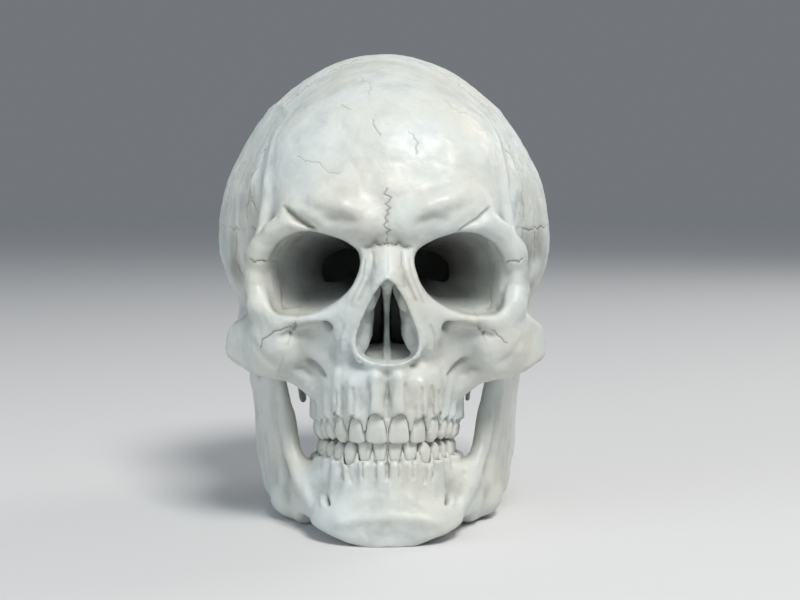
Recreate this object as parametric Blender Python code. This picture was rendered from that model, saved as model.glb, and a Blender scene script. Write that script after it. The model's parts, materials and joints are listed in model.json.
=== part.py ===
"""Adult human skull for teaching: the cranium's bones, the lower jaw and both rows of teeth.

The skull stands on the lower border of its jaw and looks along -Y, with +Z up and its own left at +X.
Each bone is a separate solid, parted from its neighbours along the real sutures by a fine gap.
Places are written in parts of the skull's own breadth, length and height: (across, along, up).
Across is from the midline, along is back from the nasal root, and up is from the table.
"""

from collections import namedtuple
import math

import bmesh
import bpy
from mathutils import Matrix, Vector
import numpy as np
import openvdb

# Driving dimensions, in metres
CRANIAL_BREADTH = 0.158
CRANIAL_LENGTH = 0.178
SKULL_HEIGHT = 0.212
VAULT_WALL = 0.0045
BASE_WALL = 0.0050
ORBIT_BREADTH = 0.0400
ORBIT_HEIGHT = 0.0342
ORBIT_WALL = 0.0026
NASAL_BREADTH = 0.0260
NASAL_HEIGHT = 0.0341
NASAL_RIM = 0.0022
FORAMEN_BREADTH = 0.0300
FORAMEN_LENGTH = 0.0350
EAR_CANAL = 0.0076
CONDYLE_BREADTH = 0.0192
CONDYLE_DEPTH = 0.0104
FOSSA_CLEARANCE = 0.0021
UPPER_ARCH_HALF_BREADTH = 0.0275
LOWER_ARCH_HALF_BREADTH = 0.0265
ARCH_DEPTH = 0.0520
OVERJET = 0.0025
BITE_HEIGHT = 0.0430
CROWN_GAP = 0.0003
SOCKET_GAP = 0.0003
SUTURE_GAP = 0.0003
SERRATION_PITCH = 0.0090
SERRATION_DEPTH = 0.0030

# Each tooth from the midline back: name, width along the row, depth, crown height, root length
Tooth = namedtuple("Tooth", "name width depth crown root")
UPPER_TEETH = (
    Tooth("central_incisor", 0.0086, 0.0072, 0.0125, 0.0125),
    Tooth("lateral_incisor", 0.0074, 0.0066, 0.0110, 0.0120),
    Tooth("canine", 0.0077, 0.0082, 0.0116, 0.0155),
    Tooth("first_premolar", 0.0070, 0.0092, 0.0094, 0.0125),
    Tooth("second_premolar", 0.0068, 0.0092, 0.0088, 0.0120),
    Tooth("first_molar", 0.0102, 0.0104, 0.0084, 0.0110),
    Tooth("second_molar", 0.0096, 0.0106, 0.0078, 0.0100),
    Tooth("wisdom_tooth", 0.0086, 0.0100, 0.0070, 0.0090),
)
LOWER_TEETH = (
    Tooth("central_incisor", 0.0056, 0.0062, 0.0096, 0.0115),
    Tooth("lateral_incisor", 0.0062, 0.0065, 0.0096, 0.0120),
    Tooth("canine", 0.0070, 0.0079, 0.0106, 0.0145),
    Tooth("first_premolar", 0.0070, 0.0078, 0.0092, 0.0130),
    Tooth("second_premolar", 0.0071, 0.0082, 0.0086, 0.0125),
    Tooth("first_molar", 0.0112, 0.0098, 0.0082, 0.0115),
    Tooth("second_molar", 0.0106, 0.0098, 0.0076, 0.0105),
    Tooth("wisdom_tooth", 0.0100, 0.0094, 0.0070, 0.0090),
)

# One part across, along and up, for the tables of shares
ACROSS = CRANIAL_BREADTH / 158
ALONG = CRANIAL_LENGTH / 178
UP = SKULL_HEIGHT / 212
PART = (ACROSS + ALONG + UP) / 3
MIDDLE_SHARE = 84.5
CELL_SHARE = 1.5
REACH_SHARE = 12.0
FAR_SHARE = 30.0
CURVE_STEPS = 3
NEARLY_ZERO = np.float32(1e-9)
RIDGE_LEAN_SHARE = 0.2
ROOT_STAND_SHARE = 2.4
ROOT_BLEND_SHARE = 1.3

# Sculpted forms: a ball has radii (across, along, up) or (across, front, back, up, down)
Ball = namedtuple("Ball", "at radii turn roundness blend", defaults=((0, 0, 0), 2.0, 0))
Limb = namedtuple("Limb", "path radii squeeze blend", defaults=((1, 1, 1), 0))
Plate = namedtuple("Plate", "at outline turn half_thickness rim blend across", defaults=(0, 0))

BRAINCASE_SHARES = (
    Ball((0, 103, 124), (79.5, 74, 74, 88, 68), roundness=1.96),
    Ball((0, 60, 137), (59.5, 58, 58, 60, 60), roundness=2.05, blend=14),
    Ball((0, 74, 158), (38, 46, 46, 46, 40), blend=12),
    Ball((0, 146, 106), (46, 24, 30, 36, 30), blend=14),
    Ball((25, 46, 143), (28, 39, 36, 36, 34), blend=10),
)
TEMPLE_HOLLOW_SHARES = (
    Ball((76, 33, 118), (23, 27, 30, 42, 36), blend=8),
)
SKULL_BASE_SHARES = (
    Ball((0, 62, 86), (24, 26, 24, 22, 22), blend=8),
)
BROW_SHARES = (
    Ball((0, 13, 135), (45, 13.5, 20, 17, 13), roundness=2.3, blend=8),
    Limb(((0, 4.5, 130.5), (7, 2.2, 132), (17, 2.2, 137), (27, 4.4, 141.5)),
         (7.2, 7.8, 6.8, 4.2), blend=5),
    Limb(((12, 4.0, 125), (18, 3.2, 130), (28, 3.6, 133.2), (38, 6.0, 133), (47.5, 11.5, 128),
          (54, 16, 119)), (3.6, 4.0, 4.2, 4.8, 5.0, 4.6), blend=4),
)
SUPRAORBITAL_GROOVE_SHARES = (
    Limb(((44, 3.0, 140), (37, 0.6, 135), (30, -1.8, 130.5)), (2.4, 2.6, 1.6), blend=3),
)
CHEEK_SHARES = (
    Limb(((53.2, 17, 121), (55.5, 17.5, 112), (55.6, 16.5, 104), (53, 13, 97)),
         (4.2, 4.4, 5.0, 5.4), blend=5),
    Limb(((53, 13, 97), (45, 6.5, 91.2), (33, 2.2, 91.2), (22, 0.5, 95.0), (14.5, -0.5, 103)),
         (4.6, 3.9, 3.7, 3.6, 3.4), blend=4),
    Plate((50.5, 18.5, 82.5),
          ((-17, -4), (-12, 8), (-3, 13), (4, 16), (9, 12), (15, 8), (20, 4), (21, -8), (12, -13),
           (2, -15.5), (-8, -14.5), (-14, -11)), (0, 0, 40), 6.2, 4.2, 5, across=1),
    Ball((48, 14, 82), (10.5, 8.5, 11), (0, 0, 38), blend=7),
)
CHEEK_ARCH_SHARES = (
    Limb(((52, 19, 82), (57.5, 27, 82), (63.4, 37, 82.4), (66.0, 47, 82.2), (66.2, 58, 81.6),
          (64, 72, 80.8), (61, 86, 83)),
         (11.5, 9.0, 7.2, 6.2, 5.9, 6.0, 6.5), (2.2, 1.3, 1), 4),
)
UPPER_JAW_SHARES = (
    Ball((17, 18, 84), (18.5, 18, 20, 24, 22), blend=6),
    Limb(((30, 15, 83), (39, 15.5, 85), (47, 18, 86)), (8, 8.5, 8), blend=5),
    Ball((0, 22, 65), (27, 27, 26, 14, 10), roundness=2.3, blend=8),
    Limb(((44, 15.5, 73), (36.5, 15.5, 68), (29.5, 17, 62)), (5.6, 4.8, 5), blend=6),
)
NASAL_BRIDGE_SHARES = (
    Limb(((0, 1.5, 127), (0, -3.4, 119), (0, -9.5, 111.0)), (5.0, 4.6, 4.9), blend=2.5),
    Limb(((6.5, 2, 121), (7.8, -3.2, 112), (10.2, -3.8, 103), (14.6, -1, 93), (17.5, 1.5, 83)),
         (4.2, 4.7, 5.5, 6.2, 6.6), blend=4),
)
CANINE_FOSSA_SHARES = (
    Ball((29.5, -2.5, 79), (8, 7.5, 10), blend=5),
)
EAR_REGION_SHARES = (
    Limb(((61, 86, 83), (63, 100, 87), (60, 116, 92)), (7, 6, 4), blend=8),
    Limb(((59, 99, 80), (57, 99, 66), (54, 95, 54)), (12, 10, 5.5), blend=6),
    Ball((49, 62, 77), (10, 6, 6), blend=4),
)
STYLOID_SHARES = (
    Limb(((42, 88, 70), (39, 82, 48)), (2.6, 1.4), blend=3),
)
TEMPORAL_FOSSA_SHARES = (
    Limb(((54, 36, 108), (51, 45, 60)), (7, 10.5), (1, 0.62, 1), 7),
)
PTERYGOID_SHARES = (
    Limb(((13, 50, 88), (13.5, 50, 60)), (8, 6), (3.2, 1, 1), 3),
    Limb(((17, 54, 88), (21, 58, 62)), (8, 7), (3.2, 1, 1), 3),
)
OCCIPITAL_CONDYLE_SHARES = (
    Ball((19, 84, 57), (5.5, 12, 7), (0, 0, -25), blend=4),
)
PALATE_VAULT_SHARES = (
    Ball((0, 26, 48), (17.5, 28, 17), roundness=2.4, blend=4),
)

ORBIT_OUTLINE_SHARES = (
    (0.475, -0.06), (0.445, -0.36), (0.34, -0.495), (0.025, -0.48), (-0.24, -0.36), (-0.41, -0.16),
    (-0.50, 0.12), (-0.455, 0.30), (-0.325, 0.40), (-0.065, 0.505), (0.165, 0.49), (0.355, 0.345),
    (0.46, 0.13))
# Along, across and up of the centre, and the opening's scale, from the front to the apex
ORBIT_STATION_SHARES = (
    (-30, 31.2, 111.3, 1.0), (8, 31.2, 111.3, 1.0), (14, 30.6, 111.5, 1.02), (24, 27.2, 112.3, 0.88),
    (34, 22.6, 113, 0.66), (44, 18.0, 113.6, 0.40), (50, 15.4, 114, 0.22))
ORBIT_WALL_STATION_SHARES = (
    (16, 30.6, 111.5, 1.0), (24, 27.2, 112.3, 0.9), (33, 23.6, 113, 0.66), (43, 20.4, 113.6, 0.34))
NASAL_CENTRE_SHARES = (0, 0, 93)
NASAL_BREADTH_SHARE = 26
NASAL_HEIGHT_SHARE = 34.1
NASAL_OUTLINE_SHARES = (
    (0, 0.5), (0.11, 0.435), (0.24, 0.28), (0.36, 0.08), (0.47, -0.12), (0.50, -0.28), (0.44, -0.41),
    (0.255, -0.48), (0, -0.5))
NASAL_STATION_SHARES = ((-40, 0, 93, 1.0), (8, 0, 93, 1.0), (46, 0, 91, 0.86))
NASAL_RIM_ALONG_SHARES = (-12.2, -11, -9, -7.2, -6, -5.6, -6.2, -8, -9)
NASAL_ROOF_SHARES = (
    Limb(((3.6, -3.5, 107), (3.6, 2.5, 113), (5.0, 14, 115), (5.2, 26, 115)), (2.2, 2.4, 3.4, 3.4),
         (1, 1, 0.72), 1),
)
SEPTUM_FRONT_SHARES = ((-6.5, 108), (-3.5, 98), (-1.5, 88), (-3.5, 77))
SEPTUM_HALF_THICKNESS = 0.0011
CONCHA_SHARES = (
    Limb(((10.6, 1, 85.5), (10.2, 12, 86.5), (10.4, 30, 86)), (2.6, 3.2, 2.2), (1.1, 1, 0.85), 2.5),
    Limb(((6.9, 5, 98), (6.6, 16, 99.5), (7.0, 30, 99)), (1.8, 2.2, 1.6), (1.1, 1, 0.75), 2.5),
)
EAR_CANAL_SHARES = ((76, 90, 79.5), (46, 90, 79))
FORAMEN_MAGNUM_SHARES = ((0, 95, 80), (0, 93, 40))
HOLLOW_FRONT_FLOOR_SHARE = 134
HOLLOW_SHARES = (
    Ball((0, 112, 116), (70, 66, 60), roundness=2.4),
    Ball((33, 64, 107), (24, 22, 25)),
)
CRANIUM_BOX_SHARES = ((0, -18, 28), (86, 186, 218))
JAW_BOX_SHARES = ((0, -18, -8), (78, 98, 92))

RAMUS_SHARES = Plate(
    (51.6, 58, 33),
    ((-24, -6), (-21, 10), (-19, 24), (-18.5, 36), (-17, 45), (-12.5, 47), (-6, 38), (1, 29.5),
     (7, 33), (9, 41), (15.5, 42), (18, 34), (19, 18), (19.5, 0), (18.5, -14), (12, -23.5),
     (0, -26.5), (-14, -27.5), (-24, -26)),
    (0, 5.5, -18), 3.6, 2.6, 5)
JAW_BODY_SHARES = (
    Limb(((0, 1.5, 13), (12, 2.5, 13), (24, 11, 13.5), (35, 29, 14.5), (43, 47, 15.2), (48.3, 69, 13.4)),
         (15.5, 15.5, 15, 15, 14.6, 15), (2.2, 2.2, 1)),
)
JAW_RIDGE_SHARES = (
    Limb(((46.5, 41, 62), (44, 38, 48), (42, 33, 32), (38, 24, 19), (31, 13, 9)),
         (3.0, 3.6, 4.2, 4.6, 5.0), blend=5),
    Limb(((56.4, 75, 60), (55.5, 75, 73)), (4.8, 4.4), blend=5),
    Limb(((55.4, 74, 50), (54.4, 73, 26), (50, 65, 13)), (3.8, 4.2, 5.4), blend=5),
)
MENTAL_HOLLOW_SHARES = (
    Ball((0, -13, 29), (17, 7, 6.5), blend=6),
    Ball((30, 4, 24), (8, 7, 9), (0, 0, 45), blend=6),
)
CHIN_SHARES = (
    Ball((0, -2, 8), (22, 9.5, 8, 11, 13), roundness=2.3, blend=8),
    Ball((21, 3.0, 7), (10.5, 8, 9), (0, 0, 28), blend=8),
    Limb(((0, -5.5, 14), (0, -3.2, 26)), (3, 2), blend=6),
)
CONDYLE_SHARES = (54, 75, 75.5)
CONDYLE_TURN = (0, 0, -12)

# The tooth rows: a rounded arch, and a biting plane that falls towards the back
ARCH_FRONT_SHARE = -5.5
ARCH_SQUARENESS = 2.3
ARCH_STEPS = 400
BITE_FALL_SHARE = 0.13
RIDGE_SHARES = (0.37, 0.37, 0.24)
SOCKET_WALL = 0.0012
RIDGE_RADIUS = 0.0065

# Rings of a tooth from the root's tip to the biting edge: height, width, depth
# Height counts root lengths below the neck and crown heights above it
INCISOR_RING_SHARES = ((-1.0, 0.30, 0.36), (0.0, 0.66, 0.84), (0.35, 0.88, 1.0), (0.8, 1.0, 0.52),
                       (1.0, 0.95, 0.24))
CANINE_RING_SHARES = ((-1.0, 0.30, 0.36), (0.0, 0.70, 0.86), (0.38, 0.98, 1.0), (0.75, 0.86, 0.66),
                      (1.0, 0.26, 0.24))
PREMOLAR_RING_SHARES = ((-1.0, 0.32, 0.36), (0.0, 0.72, 0.82), (0.4, 1.0, 1.0), (0.8, 0.86, 0.84),
                        (1.0, 0.5, 0.56))
MOLAR_RING_SHARES = ((-1.0, 0.46, 0.48), (0.0, 0.84, 0.86), (0.4, 1.0, 1.0), (0.85, 0.94, 0.92),
                     (1.0, 0.78, 0.76))
TOOTH_SIDES = 8
# How far the edge passes the biting plane
UPPER_INCISOR_OVERBITE = 0.0006
LOWER_INCISOR_OVERBITE = 0.0009
UPPER_CANINE_OVERBITE = 0.0006
LOWER_CANINE_OVERBITE = 0.0002
BACK_TEETH_GAP = 0.0002

# Region of each bone: the outline is seen along the axis named by its number
Block = namedtuple("Block", "axis outline low high slant serrated", defaults=(0, ()))
ZYGOMATIC_SHARES = (
    Block(0, ((-12, 60), (-12, 96.5), (30, 96.5), (30, 93), (52.5, 91), (51.5, 60)), 48.5, 82, -0.33),
    Block(0, ((-12, 91), (-12, 116), (30, 116.5), (30, 92)), 43.5, 80, 0.1),
)
NASAL_SHARES = (
    Block(1, ((0, 107), (7.0, 107), (5.2, 116), (5.4, 124.2), (0, 124.6)), -22, 4.5),
)
LACRIMAL_SHARES = (
    Block(0, ((5.2, 105.5), (5.2, 116.5), (11.4, 117.5), (11.4, 105)), 9.6, 17),
)
ETHMOID_SHARES = (
    Block(1, ((0, 94), (2.6, 94), (8.2, 96), (9.6, 103.4), (17, 103.4), (17, 121.6),
              (0, 121.6)), 11.9, 30.6),
    Block(0, ((-8, 94), (-8.5, 106), (-4, 110), (1, 116), (1, 117.6), (13, 117.6), (13, 94)), -2.2, 2.2),
)
VOMER_SHARES = (
    Block(0, ((-4.5, 78.2), (-9, 93.6), (30.6, 93.6), (47, 97), (47, 80), (30, 78.2)), -2.2, 2.2),
)
CONCHA_REGION_SHARES = (
    Block(1, ((5.2, 82), (5.2, 91), (10.0, 92), (11.2, 88), (11.6, 82)), -3, 34),
)
SPHENOID_SHARES = (
    Block(0, ((30.9, 97), (30.9, 119), (37, 125), (44, 129.2), (57.5, 129.2), (59, 118), (57.5, 100),
              (54, 91), (40, 91)),
          -88, 88),
    Block(0, ((46.4, 48), (46.4, 96), (31.8, 98), (31.8, 118), (68.3, 118), (68.3, 48)), -29, 29),
    Block(0, ((37, 117), (37, 136), (52, 136), (66, 117)), -46, 46),
)
PALATINE_SHARES = (
    Block(0, ((37.5, 56), (37.5, 79), (46.1, 79), (46.1, 56)), 0, 13.5),
)
MAXILLA_SHARES = (
    Block(0, ((-20, 30), (-20, 122), (4.9, 122), (6, 104.6), (11.6, 104.6), (30.7, 106.5), (30.7, 97.4),
              (46.1, 97.4), (46.1, 30)), 0, 60),
)
OCCIPITAL_SHARES = (
    Block(1, ((0, 160), (56, 98), (56, 92), (0, 92)), 112, 200, serrated=(0,)),
    Block(2, ((0, 68.6), (13, 68.6), (16, 84), (27, 92), (32, 105), (44, 124), (56, 138), (56, 200),
              (0, 200)), 28, 92.1),
)
TEMPORAL_SHARES = (
    Block(0, ((40, 36), (40, 120), (57, 128.6), (70, 129), (84, 130), (98, 129), (109, 123.5),
              (118, 114), (126, 104), (140, 97), (156, 92), (156, 36)), 13.4, 90),
)
BREGMA_SHARES = (88, 212)
PTERION_SHARES = (44, 129.2)
SAGITTAL_ALONG_SHARES = (60, 190)
MITRE_SHARE = 0.3
CRANIUM_FACES = 3000
JAW_FACES = 760
PAIR = ((1, "_left"), (-1, "_right"))
SINGLE = ((0, ""),)
SMOOTH_DEGREES = 40

# Colours from the photograph, as linear values
BONE_COLOUR = (0.56, 0.58, 0.55)
BONE_ROUGHNESS = 0.5
TOOTH_COLOUR = (0.66, 0.67, 0.62)
TOOTH_ROUGHNESS = 0.35


def spot(shares):
    """A place in metres from its shares across, along and up."""
    x, along, z = shares
    return Vector((x * ACROSS, (along - MIDDLE_SHARE) * ALONG, z * UP))


def spread(shares):
    """Lengths in metres from shares across, along and up."""
    return [share * part for share, part in zip(shares, (ACROSS, ALONG, UP))]


def turned(degrees):
    """Rotation matrix from degrees about X, Y and Z."""
    return Matrix.Rotation(math.radians(degrees[2]), 3, "Z") @ Matrix.Rotation(
        math.radians(degrees[1]), 3, "Y") @ Matrix.Rotation(math.radians(degrees[0]), 3, "X")


def local(point, centre, rotation):
    """Coordinates of grid points in a form's own turned frame."""
    offset = [p - np.float32(c) for p, c in zip(point, centre)]
    if rotation is None:
        return offset
    return [sum(np.float32(rotation[row][axis]) * offset[row] for row in range(3)) for axis in range(3)]


def rotation_of(turn):
    return turned(turn) if any(turn) else None


def joined(a, b, blend):
    """Union of two signed distances with a fillet about as wide as the blend."""
    if blend <= 0:
        return np.minimum(a, b)
    near = np.maximum(blend - np.abs(a - b), 0) / blend
    return np.minimum(a, b) - near * near * (blend / 4)


class Clay:
    """Signed distances on a grid of the skull's left half, below zero inside the bone."""

    def __init__(self, box_shares, cell_share):
        low, high = (spot(corner) for corner in box_shares)
        self.cell = cell_share * PART
        self.low = low
        self.counts = [round((b - a) / self.cell) + 1 for a, b in zip(low, high)]
        self.axes = [np.float32(start) + np.float32(self.cell) * np.arange(count, dtype=np.float32)
                     for start, count in zip(low, self.counts)]
        self.field = np.full(self.counts, FAR_SHARE * PART, np.float32)

    def window(self, low, high):
        """The slices and open grid of the cells near a form's box."""
        reach = REACH_SHARE * PART
        slices = []
        for axis, a, b in zip(self.axes, low, high):
            first, last = np.searchsorted(axis, (a - reach, b + reach))
            slices.append(slice(int(first), int(last)))
        grid = np.ix_(*(axis[part] for axis, part in zip(self.axes, slices)))
        return tuple(slices), grid

    def put(self, form, blend, sign):
        """Join a form to the bone (sign 1) or cut it away (sign -1)."""
        low, high, distance = form
        slices, grid = self.window(low, high)
        if self.field[slices].size:
            old = sign * self.field[slices]
            self.field[slices] = sign * joined(old, distance(*grid), np.float32(blend))

    def add(self, shapes):
        for shape in shapes:
            self.put(FORM_MAKERS[type(shape)](shape), shape.blend * PART, 1)

    def cut(self, shapes):
        for shape in shapes:
            self.put(FORM_MAKERS[type(shape)](shape), shape.blend * PART, -1)


def ellipsoid(centre, radii, rotation, roundness=2.0):
    """A rounded form with radii (across, along, up) or (across, front, back, up, down)."""
    if len(radii) == 3:
        across, along, up = radii
        radii = (across, along, along, up, up)
    across, front, back, up, down = radii
    reach = max(radii)
    power = np.float32(roundness)

    def distance(x, y, z):
        u, v, w = local((x, y, z), centre, rotation)
        scales = (np.float32(1 / across), np.where(v < 0, np.float32(1 / front), np.float32(1 / back)),
                  np.where(w < 0, np.float32(1 / down), np.float32(1 / up)))
        ratios = [np.abs(value) * scale for value, scale in zip((u, v, w), scales)]
        total = sum(ratio ** power for ratio in ratios) + NEARLY_ZERO
        slope = sum((ratio ** (power - 1) * scale) ** 2 for ratio, scale in zip(ratios, scales))
        steepness = total ** (1 / power - 1) * np.sqrt(slope)
        return (total ** (1 / power) - 1) / np.maximum(steepness, np.float32(1 / reach))

    corner = Vector((reach, reach, reach))
    return centre - corner, centre + corner, distance


def ball_form(shape):
    if len(shape.radii) == 5:
        across, front, back, up, down = shape.radii
        radii = (across * ACROSS, front * ALONG, back * ALONG, up * UP, down * UP)
    else:
        radii = spread(shape.radii)
    return ellipsoid(spot(shape.at), radii, rotation_of(shape.turn), shape.roundness)


def limb(points, radii, squeeze=(1, 1, 1)):
    """A round-ended limb through points; a squeeze over 1 thins it along that axis."""
    path = np.array([tuple(point) for point in points]) * squeeze

    def distance(x, y, z):
        best = None
        place = [value * np.float32(s) for value, s in zip((x, y, z), squeeze)]
        for start, end, near, far in zip(path[:-1], path[1:], radii[:-1], radii[1:]):
            run = (end - start).astype(np.float32)
            offset = [value - np.float32(a) for value, a in zip(place, start)]
            share = sum(o * r for o, r in zip(offset, run)) / np.float32(run @ run)
            share = np.clip(share, 0, 1)
            gap = [o - share * r for o, r in zip(offset, run)]
            length = np.sqrt(sum(g * g for g in gap)) + NEARLY_ZERO
            steep = np.sqrt(sum((g * np.float32(s)) ** 2 for g, s in zip(gap, squeeze)))
            slope = steep / length + NEARLY_ZERO
            value = (length - (np.float32(near) + share * np.float32(far - near))) / slope
            best = value if best is None else np.minimum(best, value)
        return best

    reach = max(radii)
    corner = Vector((reach, reach, reach))
    ends = np.array([tuple(point) for point in points])
    return Vector(ends.min(0)) - corner, Vector(ends.max(0)) + corner, distance


def limb_form(shape):
    return limb([spot(point) for point in shape.path], [radius * PART for radius in shape.radii],
                shape.squeeze)


def curved(outline, steps):
    """A closed outline made smooth through its points."""
    here = np.array(outline, float)
    before, after, beyond = np.roll(here, 1, 0), np.roll(here, -1, 0), np.roll(here, -2, 0)
    curve = []
    for step in range(steps):
        t = step / steps
        bend = 2 * before - 5 * here + 4 * after - beyond
        twist = 3 * here - before - 3 * after + beyond
        curve.append(here + ((after - before) * t + bend * t ** 2 + twist * t ** 3) / 2)
    return np.stack(curve, 1).reshape(-1, 2)


def outline_distance(u, v, outline):
    """Signed distance to a closed outline, below zero inside."""
    nearest = None
    inside = False
    for (ax, ay), (bx, by) in zip(outline, np.roll(outline, -1, 0)):
        run_x, run_y = np.float32(bx - ax), np.float32(by - ay)
        off_x, off_y = u - np.float32(ax), v - np.float32(ay)
        share = np.clip((off_x * run_x + off_y * run_y) / (run_x * run_x + run_y * run_y), 0, 1)
        gap = (off_x - share * run_x) ** 2 + (off_y - share * run_y) ** 2
        nearest = gap if nearest is None else np.minimum(nearest, gap)
        spans = (v >= np.float32(ay)) != (v >= np.float32(by))
        inside = inside ^ (spans & ((off_x * run_y < off_y * run_x) == (run_y > 0)))
    return np.where(inside, -1, 1) * np.sqrt(nearest)


def plate_form(shape):
    """A flat piece with a rounded rim; its outline lies in the two axes other than its thickness."""
    flat = [axis for axis in range(3) if axis != shape.across]
    parts = [(ACROSS, ALONG, UP)[axis] for axis in flat]
    outline = curved(np.array(shape.outline) * parts, CURVE_STEPS)
    centre, rotation = spot(shape.at), rotation_of(shape.turn)
    half, rim = shape.half_thickness * PART, shape.rim * PART

    def distance(x, y, z):
        point = local((x, y, z), centre, rotation)
        edge = outline_distance(point[flat[0]], point[flat[1]], outline) + np.float32(rim)
        face = np.abs(point[shape.across]) - np.float32(half - rim)
        outer = np.sqrt(np.maximum(edge, 0) ** 2 + np.maximum(face, 0) ** 2)
        return outer + np.minimum(np.maximum(edge, face), 0) - np.float32(rim)

    reach = float(np.abs(outline).max()) + half
    corner = Vector((reach, reach, reach))
    return centre - corner, centre + corner, distance


def funnel(outline, stations, widen=0.0):
    """An outline across and up, carried along the stations and scaled at each."""
    alongs = [spot((0, station[0], 0)).y for station in stations]
    centres_x = [station[1] * ACROSS for station in stations]
    centres_z = [station[2] * UP for station in stations]
    scales = [station[3] for station in stations]

    def distance(x, y, z):
        centre_x, centre_z, scale = (np.interp(y, alongs, values).astype(np.float32)
                                     for values in (centres_x, centres_z, scales))
        u, v = np.broadcast_arrays((x - centre_x) / scale, (z - centre_z) / scale)
        side = outline_distance(u, v, outline) * scale - np.float32(widen)
        return np.maximum(side, np.maximum(np.float32(alongs[0]) - y, y - np.float32(alongs[-1])))

    reach = float(np.abs(outline).max()) * max(scales) + widen
    low = Vector((min(centres_x) - reach, alongs[0], min(centres_z) - reach))
    high = Vector((max(centres_x) + reach, alongs[-1], max(centres_z) + reach))
    return low, high, distance


FORM_MAKERS = {Ball: ball_form, Limb: limb_form, Plate: plate_form}


def orbit_outline():
    return curved(np.array(ORBIT_OUTLINE_SHARES) * (ORBIT_BREADTH, ORBIT_HEIGHT), CURVE_STEPS)


def nasal_outline():
    """The pear-shaped opening: one half and its mirror image."""
    half = [(u, v) for u, v in NASAL_OUTLINE_SHARES]
    other = [(-u, v) for u, v in reversed(half[1:-1])]
    return np.array(half + other) * (NASAL_BREADTH, NASAL_HEIGHT)


def beside_septum(form):
    """Keep a midline plate of bone clear of a cut."""
    low, high, distance = form
    front = [spot(in_nose((0, along, up))) for along, up in reversed(SEPTUM_FRONT_SHARES)]
    heights, alongs = [place.z for place in front], [place.y for place in front]

    def kept(x, y, z):
        edge = np.interp(z, heights, alongs).astype(np.float32)
        plate = np.maximum(x - np.float32(SEPTUM_HALF_THICKNESS), edge - y)
        return np.maximum(distance(x, y, z), -plate)

    return low, high, kept


def arch_places(teeth, half_breadth, front):
    """Centre across and along, and turn, of each tooth of one half row."""
    angles = np.linspace(0, math.pi / 2, ARCH_STEPS)
    across = half_breadth * np.sin(angles) ** (2 / ARCH_SQUARENESS)
    along = front + ARCH_DEPTH * (1 - np.cos(angles) ** (2 / ARCH_SQUARENESS))
    run = np.concatenate([[0], np.cumsum(np.hypot(np.diff(across), np.diff(along)))])
    places = []
    start = 0.0
    for tooth in teeth:
        middle = start + tooth.width / 2
        before, after = middle - tooth.width / 4, middle + tooth.width / 4
        x, y = np.interp(middle, run, across), np.interp(middle, run, along)
        slope = math.atan2(np.interp(after, run, along) - np.interp(before, run, along),
                           np.interp(after, run, across) - np.interp(before, run, across))
        places.append((float(x), float(y), slope))
        start += tooth.width
    return places


def row_front():
    return spot((0, ARCH_FRONT_SHARE, 0)).y


def upper_row():
    return list(zip(UPPER_TEETH, arch_places(UPPER_TEETH, UPPER_ARCH_HALF_BREADTH, row_front())))


def lower_row():
    return list(zip(LOWER_TEETH, arch_places(LOWER_TEETH, LOWER_ARCH_HALF_BREADTH,
                                             row_front() + OVERJET)))


def bite_level(y):
    """Height of the biting plane at a place along the skull."""
    return BITE_HEIGHT - BITE_FALL_SHARE * (y - row_front())


def add_tooth_ridge(clay, row, side):
    """Bone round the roots: the ridge, and a bulge over each root. side is 1 above, -1 below."""
    wall_share, swell_share, tip_share = RIDGE_SHARES
    for tooth, (x, y, turn) in row:
        neck = bite_level(y) + side * tooth.crown
        inward = Vector((-math.sin(turn), math.cos(turn), 0))
        centre = Vector((x, y, neck))
        deep = centre + inward * tooth.root * RIDGE_LEAN_SHARE + Vector((0, 0, side * tooth.root))
        low_end = centre + inward * SOCKET_WALL + Vector((0, 0, side * SOCKET_WALL))
        clay.put(limb([low_end, deep], [tooth.width * wall_share + SOCKET_WALL, RIDGE_RADIUS]),
                 RIDGE_RADIUS, 1)
    for tooth, (x, y, turn) in row[:-1]:
        neck = bite_level(y) + side * tooth.crown
        outward = Vector((math.sin(turn), -math.cos(turn), 0))
        start = Vector((x, y, neck)) + outward * SOCKET_WALL * ROOT_STAND_SHARE
        end = start + outward * SOCKET_WALL + Vector((0, 0, side * tooth.root))
        clay.put(limb([start, end], [tooth.width * swell_share, tooth.width * tip_share]),
                 SOCKET_WALL * ROOT_BLEND_SHARE, 1)


def cranium_clay(cell_share=CELL_SHARE):
    """The whole cranium in one body, before it is parted into bones."""
    clay = Clay(CRANIUM_BOX_SHARES, cell_share)
    clay.add(BRAINCASE_SHARES)
    clay.cut(TEMPLE_HOLLOW_SHARES)
    clay.add(SKULL_BASE_SHARES)
    outer = clay.field.copy()
    for shapes in (BROW_SHARES, CHEEK_SHARES, CHEEK_ARCH_SHARES, UPPER_JAW_SHARES, NASAL_BRIDGE_SHARES):
        clay.add(shapes)
    clay.cut(SUPRAORBITAL_GROOVE_SHARES)
    add_nasal_rim(clay)
    add_tooth_ridge(clay, upper_row(), 1)
    clay.cut(CANINE_FOSSA_SHARES)
    clay.add(EAR_REGION_SHARES)
    cut_jaw_socket(clay)
    cut_ear_canal(clay)
    clay.add(STYLOID_SHARES)
    clay.cut(TEMPORAL_FOSSA_SHARES)
    outline = orbit_outline()
    clay.put(funnel(outline, ORBIT_WALL_STATION_SHARES, ORBIT_WALL), ORBIT_WALL, 1)
    clay.add(PTERYGOID_SHARES)
    clay.add(OCCIPITAL_CONDYLE_SHARES)
    clay.cut(PALATE_VAULT_SHARES)
    clay.put(funnel(outline, ORBIT_STATION_SHARES), ORBIT_WALL / 2, -1)
    carve_nose(clay)
    hollow_braincase(clay, outer)
    return clay


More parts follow.
